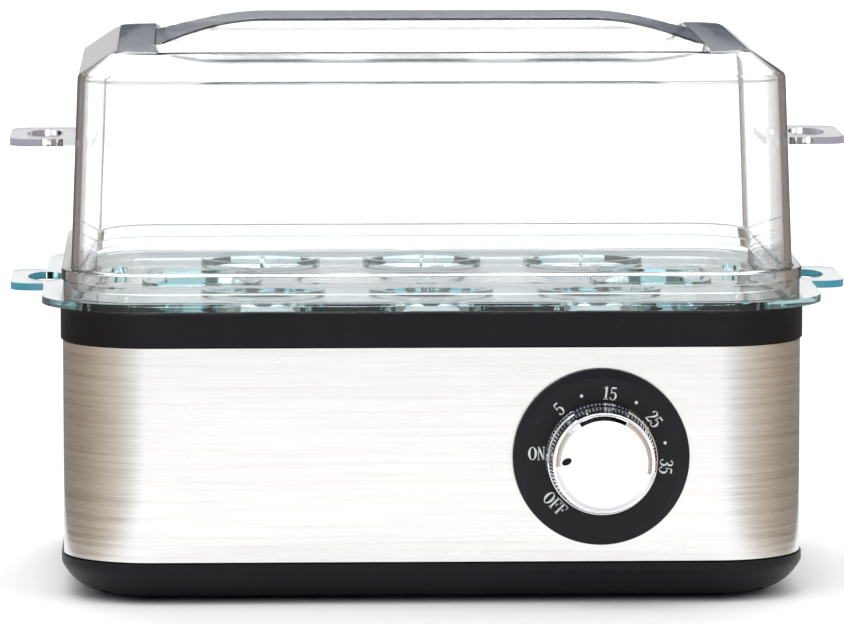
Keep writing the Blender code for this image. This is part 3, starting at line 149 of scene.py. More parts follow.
def walk(steps):
    """Takes the selected face along a section: each step goes inward, then up, by its two numbers."""
    for inward, rise in steps:
        if abs(inward) > 1e-9:
            bpy.ops.mesh.inset(thickness=inward, depth=0)
            if abs(rise) > 1e-9:
                bpy.ops.transform.translate(value=(0, 0, rise))
        else:
            bpy.ops.mesh.extrude_region_move(TRANSFORM_OT_translate={"value": (0, 0, rise)})


def quarter(radius_in, radius_up, count, over=True, down=False):
    """Steps that round an edge: over a top edge or into a hollow, as (inward, rise) pairs."""
    turns = [math.radians(90) * i / count for i in range(count + 1)]
    if over:
        spots = [(radius_in * (1 - math.cos(t)), radius_up * math.sin(t)) for t in turns]
    else:
        spots = [(radius_in * math.sin(t), radius_up * (1 - math.cos(t))) for t in turns]
    sign = -1 if down else 1
    return [(b[0] - a[0], sign * (b[1] - a[1])) for a, b in zip(spots, spots[1:])]


def finish_mesh(piece, smooth=30, edge=0, edge_steps=2, edge_angle=35):
    """Closes the shaping: merged points, outward faces, softened edges and even shading."""
    if bpy.context.mode == "EDIT_MESH":
        bpy.ops.object.mode_set(mode="OBJECT")
    hold(piece)
    bpy.ops.object.mode_set(mode="EDIT")
    bpy.ops.mesh.select_all(action="SELECT")
    bpy.ops.mesh.remove_doubles(threshold=0.000002)
    bpy.ops.mesh.normals_make_consistent(inside=False)
    bpy.ops.object.mode_set(mode="OBJECT")
    if edge:
        soft = piece.modifiers.new("soft_edges", "BEVEL")
        soft.width = edge
        soft.segments = edge_steps
        soft.limit_method = "ANGLE"
        soft.angle_limit = math.radians(edge_angle)
        soft.harden_normals = False
        bpy.ops.object.modifier_apply(modifier="soft_edges")
    bpy.ops.object.shade_smooth_by_angle(angle=math.radians(smooth))
    even = piece.modifiers.new("even_shading", "WEIGHTED_NORMAL")
    even.keep_sharp = True
    bpy.ops.object.modifier_apply(modifier="even_shading")
    piece.select_set(False)
    print(f"{piece.name}: {len(piece.data.polygons)} faces")
    return piece


# %% Helpers for outlines and cuts
ROUND_CORNER_STEPS = 24


def round_sheet(name, half_x, half_y, corner, z, steps=ROUND_CORNER_STEPS):
    """A flat face with round corners, centred on the body, left selected in edit mode."""
    lay_down()
    bpy.ops.mesh.primitive_plane_add(size=2, location=(0, MIDDLE_Y, z))
    piece = started(name)
    bpy.ops.mesh.select_all(action="SELECT")
    bpy.ops.transform.resize(value=(half_x, half_y, 1), center_override=(0, MIDDLE_Y, z))
    bpy.ops.mesh.bevel(offset=corner, segments=steps, affect="VERTICES", profile=0.5)
    bpy.ops.mesh.select_mode(type="FACE")
    bpy.ops.mesh.select_all(action="SELECT")
    return piece


def body_sheet(name, inset, z, steps=ROUND_CORNER_STEPS):
    return round_sheet(name, HALF_WIDTH - inset, HALF_DEPTH - inset, BODY_CORNER - inset, z, steps)


def rod(name, radius, low, high, steps, spot=(0, 0), axis="Z"):
    """A plain round tool or core; low and high are along its axis, spot is across it."""
    lay_down()
    middle = (low + high) / 2
    if axis == "Z":
        place, turn = (spot[0], spot[1], middle), (0, 0, 0)
    else:
        place, turn = (spot[0], middle, spot[1]), (math.radians(90), 0, 0)
    bpy.ops.mesh.primitive_cylinder_add(vertices=steps, radius=radius, depth=high - low, location=place, rotation=turn)
    piece = started(name)
    bpy.ops.object.mode_set(mode="OBJECT")
    return piece


def block(name, low, high):
    lay_down()
    middle = [(a + b) / 2 for a, b in zip(low, high)]
    bpy.ops.mesh.primitive_cube_add(size=1, location=middle)
    piece = bpy.context.object
    piece.scale = [b - a for a, b in zip(low, high)]
    started(name)
    bpy.ops.object.mode_set(mode="OBJECT")
    return piece


def cut(piece, tools, operation="DIFFERENCE"):
    """Cuts tools out of a piece, or joins them on, and throws the tools away."""
    hold(piece)
    for tool in tools:
        change = piece.modifiers.new("cut", "BOOLEAN")
        change.operation = operation
        change.solver = "EXACT"
        change.object = tool
        bpy.ops.object.modifier_apply(modifier="cut")
    for tool in tools:
        bpy.data.objects.remove(tool)
    piece.select_set(False)
    return piece


def four_corners(x, y):
    return [(a * x, MIDDLE_Y + b * y) for a in (-1, 1) for b in (-1, 1)]


print("hands ready")

# %% [markdown]
# ## Finishes
# A finish is a few effects put together: the fine grain of a mould, the lines of a brush, edges that handling has
# rubbed, and the faint marks that fingers and water leave. Each effect is a node group that puts out a mask or a
# height, so that every finish below can use it at its own strength.

# %% Helpers for finishes


def add_node(tree, kind, values=None, **settings):
    made = tree.nodes.new("ShaderNode" + kind)
    for key, value in settings.items():
        setattr(made, key, value)
    for key, value in (values or {}).items():
        made.inputs[key].default_value = value
    return made


def new_effect(name, takes, gives):
    """An empty effect with named inputs (name, default) and outputs, and its two end nodes."""
    tree = bpy.data.node_groups.new(name, "ShaderNodeTree")
    for label, value in takes:
        tree.interface.new_socket(label, in_out="INPUT", socket_type="NodeSocketFloat").default_value = value
    for label in gives:
        tree.interface.new_socket(label, in_out="OUTPUT", socket_type="NodeSocketFloat")
    return tree, tree.nodes.new("NodeGroupInput"), tree.nodes.new("NodeGroupOutput")


def sums(tree, kind, first, second):
    """One Math node; first and second are sockets or plain numbers."""
    made = add_node(tree, "Math", operation=kind)
    for socket, value in zip(made.inputs, (first, second)):
        if isinstance(value, (int, float)):
            socket.default_value = value
        else:
            tree.links.new(value, socket)
    return made.outputs["Value"]


# %% Effect: mould grain
def make_mould_grain():
    """The fine spark-eroded grain of a moulded face. Size is in millimetres."""
    tree, takes, gives = new_effect("mould_grain", [("Size", 0.4)], ["Height"])
    place = add_node(tree, "TexCoord")
    noise = add_node(tree, "TexNoise", {"Detail": 2.0, "Roughness": 0.55})
    tree.links.new(place.outputs["Object"], noise.inputs["Vector"])
    tree.links.new(sums(tree, "DIVIDE", 1000.0, takes.outputs["Size"]), noise.inputs["Scale"])
    tree.links.new(noise.outputs["Fac"], gives.inputs["Height"])
    return tree


def make_brush_lines():
    """Lines that a belt leaves: fine up the sheet, long along it. Pitch is in millimetres."""
    tree, takes, gives = new_effect("brush_lines", [("Pitch", 0.12), ("Length", 14.0)], ["Height", "Streaks"])
    place = add_node(tree, "TexCoord")
    stretch = add_node(tree, "VectorMath", operation="MULTIPLY")
    joined = add_node(tree, "CombineXYZ")
    along = sums(tree, "DIVIDE", 1000.0, takes.outputs["Length"])
    across = sums(tree, "DIVIDE", 1000.0, takes.outputs["Pitch"])
    tree.links.new(along, joined.inputs["X"])
    tree.links.new(along, joined.inputs["Y"])
    tree.links.new(across, joined.inputs["Z"])
    tree.links.new(place.outputs["Object"], stretch.inputs[0])
    tree.links.new(joined.outputs["Vector"], stretch.inputs[1])
    lines = add_node(tree, "TexNoise", {"Scale": 1.0, "Detail": 4.0, "Roughness": 0.7})
    wide = add_node(tree, "TexNoise", {"Scale": 0.16, "Detail": 2.0, "Roughness": 0.5})
    tree.links.new(stretch.outputs["Vector"], lines.inputs["Vector"])
    tree.links.new(stretch.outputs["Vector"], wide.inputs["Vector"])
    tree.links.new(lines.outputs["Fac"], gives.inputs["Height"])
    streaks = sums(tree, "ADD", sums(tree, "MULTIPLY", lines.outputs["Fac"], 0.55), sums(tree, "MULTIPLY", wide.outputs["Fac"], 0.45))
    bright = add_node(tree, "MapRange", {"From Min": 0.36, "From Max": 0.56})
    tree.links.new(streaks, bright.inputs["Value"])
    tree.links.new(bright.outputs["Result"], gives.inputs["Streaks"])
    return tree


# %% Effects: rubbed edges and handling marks
def make_rubbed_edges():
    """A mask of the edges: where a rounded normal leaves the true one, broken up by noise. Width in millimetres."""
    tree, takes, gives = new_effect("rubbed_edges", [("Width", 0.4)], ["Edges"])
    round_over = add_node(tree, "Bevel", samples=4)
    tree.links.new(sums(tree, "MULTIPLY", takes.outputs["Width"], 0.001), round_over.inputs["Radius"])
    true = add_node(tree, "NewGeometry")
    alike = add_node(tree, "VectorMath", operation="DOT_PRODUCT")
    tree.links.new(round_over.outputs["Normal"], alike.inputs[0])
    tree.links.new(true.outputs["Normal"], alike.inputs[1])
    bent = sums(tree, "MULTIPLY", sums(tree, "SUBTRACT", 1.0, alike.outputs["Value"]), 5.0)
    place = add_node(tree, "TexCoord")
    broken = add_node(tree, "TexNoise", {"Scale": 220.0, "Detail": 4.0})
    tree.links.new(place.outputs["Object"], broken.inputs["Vector"])
    patchy = add_node(tree, "MapRange", {"From Min": 0.38, "From Max": 0.62})
    tree.links.new(broken.outputs["Fac"], patchy.inputs["Value"])
    worn = add_node(tree, "Math", operation="MULTIPLY", use_clamp=True)
    tree.links.new(bent, worn.inputs[0])
    tree.links.new(patchy.outputs["Result"], worn.inputs[1])
    tree.links.new(worn.outputs["Value"], gives.inputs["Edges"])
    return tree


def make_handling_marks():
    """Soft smudges and small specks. Spread is how much of the face the smudges take."""
    tree, takes, gives = new_effect("handling_marks", [("Size", 18.0), ("Spread", 0.5)], ["Smudges", "Specks"])
    place = add_node(tree, "TexCoord")
    cloud = add_node(tree, "TexNoise", {"Detail": 5.0, "Roughness": 0.6, "Distortion": 0.6})
    tree.links.new(place.outputs["Object"], cloud.inputs["Vector"])
    tree.links.new(sums(tree, "DIVIDE", 1000.0, takes.outputs["Size"]), cloud.inputs["Scale"])
    soft = add_node(tree, "MapRange", {"From Max": 0.75})
    tree.links.new(cloud.outputs["Fac"], soft.inputs["Value"])
    tree.links.new(sums(tree, "SUBTRACT", 0.75, sums(tree, "MULTIPLY", takes.outputs["Spread"], 0.4)), soft.inputs["From Min"])
    tree.links.new(soft.outputs["Result"], gives.inputs["Smudges"])
    cells = add_node(tree, "TexVoronoi", {"Scale": 260.0})
    tree.links.new(place.outputs["Object"], cells.inputs["Vector"])
    dots = add_node(tree, "MapRange", {"From Min": 0.10, "From Max": 0.04})
    tree.links.new(cells.outputs["Distance"], dots.inputs["Value"])
    few = add_node(tree, "MapRange", {"From Min": 0.86, "From Max": 0.88})
    pale = add_node(tree, "SeparateColor")
    tree.links.new(cells.outputs["Color"], pale.inputs["Color"])
    tree.links.new(pale.outputs["Red"], few.inputs["Value"])
    tree.links.new(sums(tree, "MULTIPLY", dots.outputs["Result"], few.outputs["Result"]), gives.inputs["Specks"])
    return tree


MOULD_GRAIN = make_mould_grain()
BRUSH_LINES = make_brush_lines()
RUBBED_EDGES = make_rubbed_edges()
HANDLING_MARKS = make_handling_marks()
print("effects:", [tree.name for tree in bpy.data.node_groups])

# %% Helpers for surfaces


def new_finish(name):
    paint = bpy.data.materials.new(name)
    paint.use_nodes = True
    return paint, paint.node_tree, paint.node_tree.nodes["Principled BSDF"]


def use_effect(tree, effect, **values):
    made = tree.nodes.new("ShaderNodeGroup")
    made.node_tree = effect
    for key, value in values.items():
        made.inputs[key].default_value = value
    return made


def blend_colours(tree, mask, first, second):
    made = add_node(tree, "Mix", data_type="RGBA")
    made.inputs[6].default_value = (*first, 1)
    made.inputs[7].default_value = (*second, 1)
    tree.links.new(mask, made.inputs[0])
    return made.outputs[2]


def blend_values(tree, mask, low, high):
    made = add_node(tree, "MapRange", {"To Min": low, "To Max": high})
    tree.links.new(mask, made.inputs["Value"])
    return made.outputs["Result"]


def raise_surface(tree, shader, height, depth):
    """Bump from a height of 0 to 1; depth is in millimetres."""
    bump = add_node(tree, "Bump", {"Strength": 1.0, "Distance": depth * 0.001})
    tree.links.new(height, bump.inputs["Height"])
    tree.links.new(bump.outputs["Normal"], shader.inputs["Normal"])


# %% Moulded plastic
def moulded(name, colour, worn, rough=0.42, shine=0.5, grain=0.35, depth=0.006, marks=0.25):
    paint, tree, shader = new_finish(name)
    grains = use_effect(tree, MOULD_GRAIN, Size=grain)
    edges = use_effect(tree, RUBBED_EDGES, Width=0.35)
    touched = use_effect(tree, HANDLING_MARKS, Size=22.0, Spread=marks)
    pale = sums(tree, "MAXIMUM", sums(tree, "MULTIPLY", edges.outputs["Edges"], 0.7), touched.outputs["Specks"])
    tree.links.new(blend_colours(tree, pale, colour, worn), shader.inputs["Base Color"])
    tree.links.new(blend_values(tree, touched.outputs["Smudges"], rough, rough + 0.10), shader.inputs["Roughness"])
    raise_surface(tree, shader, grains.outputs["Height"], depth)
    shader.inputs["Specular IOR Level"].default_value = shine
    return paint


# %% Metal
def metal(name, colour, dull, rough=0.25, pitch=0.12, length=14.0, depth=0.002, stretch=0.0):
    paint, tree, shader = new_finish(name)
    lines = use_effect(tree, BRUSH_LINES, Pitch=pitch, Length=length)
    touched = use_effect(tree, HANDLING_MARKS, Size=30.0, Spread=0.4)
    tree.links.new(blend_colours(tree, lines.outputs["Streaks"], dull, colour), shader.inputs["Base Color"])
    smudged = sums(tree, "MULTIPLY", touched.outputs["Smudges"], 0.35)
    uneven = sums(tree, "ADD", sums(tree, "MULTIPLY", lines.outputs["Streaks"], 0.65), smudged)
    tree.links.new(blend_values(tree, uneven, rough * 0.75, rough * 1.35), shader.inputs["Roughness"])
    raise_surface(tree, shader, lines.outputs["Height"], depth)
    shader.inputs["Metallic"].default_value = 1.0
    if stretch:
        shader.inputs["Anisotropic"].default_value = stretch
        turn = add_node(tree, "Tangent", direction_type="RADIAL", axis="Z")
        tree.links.new(turn.outputs["Tangent"], shader.inputs["Tangent"])
    return paint


# %% Clear plastic
def clear_plastic(name, colour, depth_colour, density, rough, painted_shade_colour, painted_shade_share):
    """Polished see-through plastic. The tint lies in its depth, so thin walls stay pale and long edges turn dark.
    Its shadow is let through, as a thin clear wall hardly darkens the table. The ears' upright edges carry a painted
    shade: a darker colour that lets less light through, standing in for the dark refraction lines along them."""
    paint, tree, shader = new_finish(name)
    spot = add_node(tree, "SeparateXYZ")
    facing = add_node(tree, "SeparateXYZ")
    tree.links.new(add_node(tree, "TexCoord").outputs["Object"], spot.inputs["Vector"])
    tree.links.new(add_node(tree, "NewGeometry").outputs["True Normal"], facing.inputs["Vector"])
    out_x = sums(tree, "ABSOLUTE", spot.outputs["X"], 0.0)
    out_y = sums(tree, "ABSOLUTE", sums(tree, "SUBTRACT", spot.outputs["Y"], MIDDLE_Y), 0.0)
    past_hole = sums(tree, "MAXIMUM", sums(tree, "SUBTRACT", out_x, 0.1106), sums(tree, "SUBTRACT", out_y, 0.0125))
    # Painted shade: the ears' upright faces get a darker colour and pass less light, in place of the dark lines that
    # refraction draws there.
    on_ear = sums(tree, "MULTIPLY", sums(tree, "GREATER_THAN", out_x, 0.1055), sums(tree, "GREATER_THAN", past_hole, 0.0))
    upright = sums(tree, "LESS_THAN", sums(tree, "ABSOLUTE", facing.outputs["Z"], 0.0), 0.5)
    painted_edge_shade = sums(tree, "MULTIPLY", on_ear, upright)
    tree.links.new(blend_colours(tree, painted_edge_shade, colour, painted_shade_colour), shader.inputs["Base Color"])
    tree.links.new(blend_values(tree, painted_edge_shade, 1.0, 1.0 - painted_shade_share), shader.inputs["Transmission Weight"])
    touched = use_effect(tree, HANDLING_MARKS, Size=26.0, Spread=0.35)
    tree.links.new(blend_values(tree, touched.outputs["Smudges"], rough, rough + 0.03), shader.inputs["Roughness"])
    shader.inputs["IOR"].default_value = 1.49
    ray = add_node(tree, "LightPath")
    let_through = add_node(tree, "BsdfTransparent", {"Color": (*colour, 1)})
    mixed = tree.nodes.new("ShaderNodeMixShader")
    out = tree.nodes["Material Output"]
    tree.links.new(ray.outputs["Is Shadow Ray"], mixed.inputs[0])
    tree.links.new(shader.outputs["BSDF"], mixed.inputs[1])
    tree.links.new(let_through.outputs["BSDF"], mixed.inputs[2])
    tree.links.new(mixed.outputs["Shader"], out.inputs["Surface"])
    tint = add_node(tree, "VolumeAbsorption", {"Color": (*depth_colour, 1), "Density": density})
    tree.links.new(tint.outputs["Volume"], out.inputs["Volume"])
    return paint


# %% All finishes
FINISH = {
    "black_plastic": moulded("black_plastic", (0.0050, 0.0048, 0.0066), (0.030, 0.030, 0.036), 0.40, 0.22),
    "dial_plastic": moulded("dial_plastic", (0.011, 0.0105, 0.0145), (0.04, 0.04, 0.048), 0.38, 0.24, 0.5, 0.003),
    "brushed_steel": metal("brushed_steel", (0.93, 0.925, 0.915), (0.75, 0.74, 0.73), 0.24, 0.20, 12.0, 0.0015, 0.5),
    "steel": metal("steel", (0.82, 0.81, 0.80), (0.70, 0.69, 0.68), 0.20, 0.30, 4.0, 0.002),
    "chrome": metal("chrome", (0.95, 0.95, 0.96), (0.92, 0.92, 0.93), 0.05, 2.0, 6.0, 0.0),
    "aluminium": metal("aluminium", (0.83, 0.84, 0.85), (0.70, 0.71, 0.72), 0.42, 0.5, 0.6, 0.02),
    "brass": metal("brass", (0.86, 0.68, 0.36), (0.70, 0.52, 0.25), 0.28, 0.2, 3.0, 0.002),
    "dark_steel": metal("dark_steel", (0.38, 0.34, 0.31), (0.14, 0.12, 0.13), 0.38, 3.0, 9.0, 0.01),
    # The last colour and share of the clear and aqua finishes are the painted shade on the ears' upright faces.
    "clear": clear_plastic("clear", (0.995, 0.997, 1.0), (0.70, 0.74, 0.80), 12.0, 0.02, (0.46, 0.44, 0.52), 0.65),
    "aqua": clear_plastic("aqua", (0.965, 0.99, 0.995), (0.36, 0.80, 0.84), 20.0, 0.03, (0.08, 0.38, 0.47), 0.70),
    "rubber": moulded("rubber", (0.016, 0.016, 0.018), (0.05, 0.05, 0.052), 0.72, 0.25, 0.5, 0.02, 0.5),
    "silicone": moulded("silicone", (0.55, 0.53, 0.51), (0.70, 0.69, 0.67), 0.55, 0.4, 0.6, 0.01, 0.5),
    "insulator": moulded("insulator", (0.70, 0.68, 0.62), (0.85, 0.84, 0.80), 0.60, 0.4, 0.3, 0.02, 0.5),
    "pale_plastic": moulded("pale_plastic", (0.66, 0.64, 0.60), (0.82, 0.81, 0.78), 0.45, 0.5, 0.4, 0.01, 0.3),
    "lead_brown": moulded("lead_brown", (0.13, 0.045, 0.015), (0.25, 0.12, 0.06), 0.50, 0.4, 1.2, 0.01, 0.3),
    "lead_blue": moulded("lead_blue", (0.015, 0.07, 0.27), (0.08, 0.18, 0.40), 0.50, 0.4, 1.2, 0.01, 0.3),
    "lead_green": moulded("lead_green", (0.16, 0.34, 0.02), (0.75, 0.62, 0.05), 0.50, 0.4, 1.2, 0.01, 0.3),
    "lead_white": moulded("lead_white", (0.74, 0.72, 0.69), (0.85, 0.84, 0.82), 0.60, 0.4, 0.25, 0.03, 0.4),
}


def dress(piece, slot):
    """Gives a shape its finish and nothing else."""
    piece.data.materials.clear()
    piece.data.materials.append(FINISH[slot])


def seat(piece, slot, body, *nodes):
    """Puts a finished piece in the frame: what it stands for, what it is made of and what it rides on."""
    dress(piece, slot)
    if nodes:
        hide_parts(*nodes)
    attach(piece, body)


for part in frame["record"]["subparts"]:
    for place in cad[part["node"]].material_slots:
        place.material = FINISH[part["material_slot"]]
print("finishes:", len(FINISH))

# %% [markdown]
# ## Base
# The base is one black moulding: a low tray with a round lower edge, a rim that stands inside the band, four
# screw bosses, ten air slots and a recess for each foot. It could be carved from a block, but a moulding is a
# walk along a section, so the sheet's face is extruded and inset from the seam down, and then from the seam in.

# %% Base
BASE_LOW, BASE_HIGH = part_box("base")
BASE_SEAM = 0.0111
BASE_FLOOR_TOP = 0.0034
BASE_SIDE = [(0.0, 9.3), (0.15, 8.7), (0.55, 7.9), (1.2, 6.95), (2.05, 5.8), (3.0, 4.75), (4.0, 3.85), (5.2, 3.0)]
BASE_SIDE += [(6.6, 2.2), (8.2, 1.6), (9.9, 1.15), (11.5, 1.0)]
BASE_HOLLOW = [(3.3, 8.9), (3.9, 7.5), (5.0, 6.3), (6.3, 5.3), (7.8, 4.5), (9.6, 3.8), (11.6, 3.4)]
RIM_INSET, RIM_WALL = 0.0017, 0.0016
BOSS_X, BOSS_Y = 0.086172, 0.059172
FOOT_X, FOOT_Y = 0.064, 0.049


def side_steps(side, inset, z):
    """Steps in and down from a start through points given as inset and height in millimetres."""
    steps = []
    for new_inset, new_z in side:
        steps.append((new_inset / 1000 - inset, new_z / 1000 - z))
        inset, z = new_inset / 1000, new_z / 1000
    return steps


def make_base():
    piece = body_sheet("base_shell", 0, BASE_SEAM)
    walk(side_steps(BASE_SIDE, 0, BASE_SEAM))
    pick(lambda middle, normal: abs(middle.z - BASE_SEAM) < 1e-6 and abs(normal.z) > 0.9)
    walk([(RIM_INSET, 0), (0, BASE_HIGH.z - BASE_SEAM)])
    finish_mesh(piece)
    hollow = body_sheet("hollow", RIM_INSET + RIM_WALL, BASE_HIGH.z + 0.001)
    walk(side_steps(BASE_HOLLOW, RIM_INSET + RIM_WALL, BASE_HIGH.z + 0.001))
    finish_mesh(hollow)
    cut(hollow, [rod("boss", 0.0044, 0.001, BASE_HIGH.z + 0.002, 32, spot) for spot in four_corners(BOSS_X, BOSS_Y)])
    cut(piece, [hollow])
    tools = [rod("seat", 0.0031, 0, 0.0052, 32, spot) for spot in four_corners(BOSS_X, BOSS_Y)]
    tools += [rod("hole", 0.0018, 0, 0.018, 24, spot) for spot in four_corners(BOSS_X, BOSS_Y)]
    tools += [rod("recess", 0.0068, 0, 0.0020, 48, spot) for spot in four_corners(FOOT_X, FOOT_Y)]
    for side in (-1, 1):
        for i in range(5):
            x = side * 0.030 + (i - 2) * 0.0055
            slot = block("slot", (x - 0.0011, MIDDLE_Y - 0.011, 0), (x + 0.0011, MIDDLE_Y + 0.011, 0.0044))
            tools.append(slot)
    cut(piece, tools)
    return finish_mesh(piece, edge=0.00025, edge_steps=2, edge_angle=50)


base_shell = make_base()
seat(base_shell, "black_plastic", "housing", "base")

# %% [markdown]
# ## Steel band
# The band is thin sheet steel, bent round the body. A wall of the sheet's thickness comes from one outline that
# is extruded up and then hollowed from both ends, which keeps both faces parallel in the bends.

# %% Steel band
BAND_LOW, BAND_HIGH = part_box("steel_band")
BAND_SETBACK, BAND_SHEET = 0.0006, 0.0008
DIAL_LOW, DIAL_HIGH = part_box("dial_plate")
DIAL_X = (DIAL_LOW.x + DIAL_HIGH.x) / 2
DIAL_Z = (DIAL_LOW.z + DIAL_HIGH.z) / 2
GLAND_LOW, GLAND_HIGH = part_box("cord_gland")
GLAND_X, GLAND_Z = (GLAND_LOW.x + GLAND_HIGH.x) / 2, (GLAND_LOW.z + GLAND_HIGH.z) / 2


def make_band():
    piece = body_sheet("band_sleeve", BAND_SETBACK, BAND_LOW.z)
    walk([(0, BAND_HIGH.z - BAND_LOW.z)])
    for height in (BAND_LOW.z, BAND_HIGH.z):
        pick(lambda middle, normal: abs(middle.z - height) < 1e-6 and abs(normal.z) > 0.9)
        walk([(BAND_SHEET, 0)])
    pick(lambda middle, normal: abs(normal.z) > 0.9 and abs(middle.x) < 0.01 and abs(middle.y - MIDDLE_Y) < 0.01)
    bpy.ops.mesh.bridge_edge_loops()
    finish_mesh(piece)
    front = (BAND_LOW.y - 0.002, BAND_LOW.y + 0.002)
    back = (BAND_HIGH.y - 0.002, BAND_HIGH.y + 0.002)
    tools = [rod("shaft_hole", 0.0046, *front, 32, (DIAL_X, DIAL_Z), "Y")]
    tools += [rod("screw_hole", 0.0016, *front, 16, (DIAL_X + side * 0.0092, DIAL_Z), "Y") for side in (-1, 1)]
    tools.append(rod("gland_hole", 0.0058, *back, 32, (GLAND_X, GLAND_Z), "Y"))
    cut(piece, tools)
    return finish_mesh(piece, edge=0.00012, edge_steps=1, edge_angle=50)


band_sleeve = make_band()
seat(band_sleeve, "brushed_steel", "housing", "steel_band")

# %% [markdown]
# ## Top ring
# The black ring caps the band. It has a flat land that the tray rests on, a step for the pan's flange and a hidden
# skirt with four posts that the long base screws pull on. It is a closed ring, so the walk from above and the walk
# from below end on the same inner edge, and their last faces are taken out.

# %% Top ring
RING_SEAM = 0.0694
RING_EDGE = 0.0008
RING_LAND, RING_LEDGE = 0.0055, 0.0075
LEDGE_TOP, LEDGE_UNDER = 0.0759, 0.0735
RING_SKIRT_LOW = 0.0631
POST_RADIUS, POST_X, POST_Y = 0.0036, 0.08617, 0.05917


def make_top_ring():
    piece = body_sheet("top_ring", 0, RING_SEAM)
    top = RING_HIGH.z
    walk([(0, top - RING_EDGE - RING_SEAM)])
    walk(quarter(RING_EDGE, RING_EDGE, 5))
    walk([(RING_LAND - RING_EDGE, 0), (0, LEDGE_TOP - top), (RING_LEDGE, 0), (0, LEDGE_UNDER - LEDGE_TOP)])
    bpy.ops.mesh.delete(type="ONLY_FACE")
    pick(lambda middle, normal: abs(middle.z - RING_SEAM) < 1e-6 and abs(normal.z) > 0.9)
    walk([(RIM_INSET, 0), (0, RING_SKIRT_LOW - RING_SEAM), (RIM_WALL, 0), (0, LEDGE_UNDER - RING_SKIRT_LOW)])
    walk([(RING_LAND + RING_LEDGE - RIM_INSET - RIM_WALL, 0)])
    bpy.ops.mesh.delete(type="ONLY_FACE")
    finish_mesh(piece, edge=0.0002, edge_steps=2, edge_angle=50)
    posts = [rod("post", POST_RADIUS, RING_LOW.z, LEDGE_UNDER + 0.0004, 32, spot) for spot in four_corners(POST_X, POST_Y)]
    cut(piece, posts, "UNION")
    return finish_mesh(piece)


top_ring = make_top_ring()
seat(top_ring, "black_plastic", "housing", "bezel")

# %% [markdown]
# ## Water pan
# The pan is pressed from steel sheet: a flange that hangs on the ring's step, leaning walls with a round bend at
# the top and the bottom, and a shallow well over the heater. The sheet's upper face is walked down first, and
# Solidify then gives it its thickness downwards, as a press keeps one thickness everywhere.

# %% Water pan
PAN_LOW, PAN_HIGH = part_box("heating_pan")
PAN_SHEET = 0.0010
PAN_INSET, PAN_FLANGE = 0.0058, 0.0098
PAN_BEND, PAN_DRAFT = 0.0016, 0.0030
BOWL_TOP = 0.0665
WELL_HALF_X, WELL_HALF_Y, WELL_CORNER, WELL_DRAFT, WELL_DEPTH = 0.064, 0.039, 0.030, 0.002, 0.002
STUD_X = 0.071


def make_pan():
    piece = body_sheet("water_pan", PAN_INSET, PAN_HIGH.z)
    walk([(PAN_FLANGE - PAN_BEND, 0)])
    walk(quarter(PAN_BEND, PAN_BEND, 5, over=False, down=True))
    walk([(PAN_DRAFT, BOWL_TOP + PAN_BEND - (PAN_HIGH.z - PAN_BEND))])
    walk(quarter(PAN_BEND, PAN_BEND, 5, over=True, down=True))
    bpy.ops.mesh.delete(type="ONLY_FACE")
    bpy.ops.object.mode_set(mode="OBJECT")
    well = round_sheet("well", WELL_HALF_X, WELL_HALF_Y, WELL_CORNER, BOWL_TOP)
    walk(quarter(WELL_DRAFT, WELL_DEPTH, 4, over=False, down=True))
    bpy.ops.object.mode_set(mode="OBJECT")
    hold(piece)
    well.select_set(True)
    bpy.ops.object.join()
    bpy.ops.object.mode_set(mode="EDIT")
    edge_of_floor = HALF_WIDTH - PAN_INSET - PAN_FLANGE - PAN_DRAFT - PAN_BEND
    work = bmesh.from_edit_mesh(piece.data)
    bpy.ops.mesh.select_mode(type="EDGE")
    bpy.ops.mesh.select_all(action="DESELECT")
    for edge in work.edges:
        level = all(abs(v.co.z - BOWL_TOP) < 1e-6 for v in edge.verts)
        if level and edge.is_boundary:
            edge.select_set(True)
    bmesh.update_edit_mesh(piece.data)
    bpy.ops.mesh.bridge_edge_loops()
    finish_mesh(piece, smooth=60)
    hold(piece)
    upright = sum(face.normal.z * face.area for face in piece.data.polygons)
    sheet = piece.modifiers.new("sheet", "SOLIDIFY")
    sheet.thickness = PAN_SHEET
    sheet.offset = -1 if upright > 0 else 1
    bpy.ops.object.modifier_apply(modifier="sheet")
    studs = [rod("stud", 0.002, PAN_LOW.z + 0.0, BOWL_TOP - 0.0005, 24, (side * STUD_X, MIDDLE_Y)) for side in (-1, 1)]
    cut(piece, studs, "UNION")
    return finish_mesh(piece, smooth=40)


water_pan = make_pan()
seat(water_pan, "steel", "housing", "heating_pan")

# %% [markdown]
# ## Seat tray
# The tray is one clear moulding. Its flat plate, the two ears, the upright rim, the skirt that drops into the pan
# and the eight seat collars are made as plain pieces first and joined, and the holes are cut last, because a hole
# that is cut after the joining passes cleanly through everything.

# %% Seat tray
TRAY_LOW, TRAY_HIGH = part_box("egg_tray")
TRAY_UNDER, TRAY_TOP = 0.0790, 0.0810
TRAY_HALF_X, TRAY_HALF_Y, TRAY_CORNER = 0.1050, 0.0745, 0.0270
TRAY_RIM_INSET, TRAY_RIM_WALL = 0.0008, 0.0020
SKIRT_INSET, SKIRT_WALL, SKIRT_DROP = 0.0166, 0.0014, 0.0034
SEAT_RADIUS, SEAT_WALL, SEAT_RISE, SEAT_DROP = 0.0150, 0.0018, 0.0012, 0.0026
SEATS = [(x * 0.0454, y * 0.0400) for y in (-1, 1) for x in (-1, 0, 1)] + [(-0.062, 0), (0.062, 0)]
EAR_TIP, EAR_HALF_DEPTH, EAR_ROUND, EAR_THICK = 0.1143, 0.0194, 0.0060, 0.0020
EAR_HOLE_HALF, EAR_HOLE_RADIUS, EAR_HOLE_FROM_TIP = 0.0110, 0.0050, 0.0095


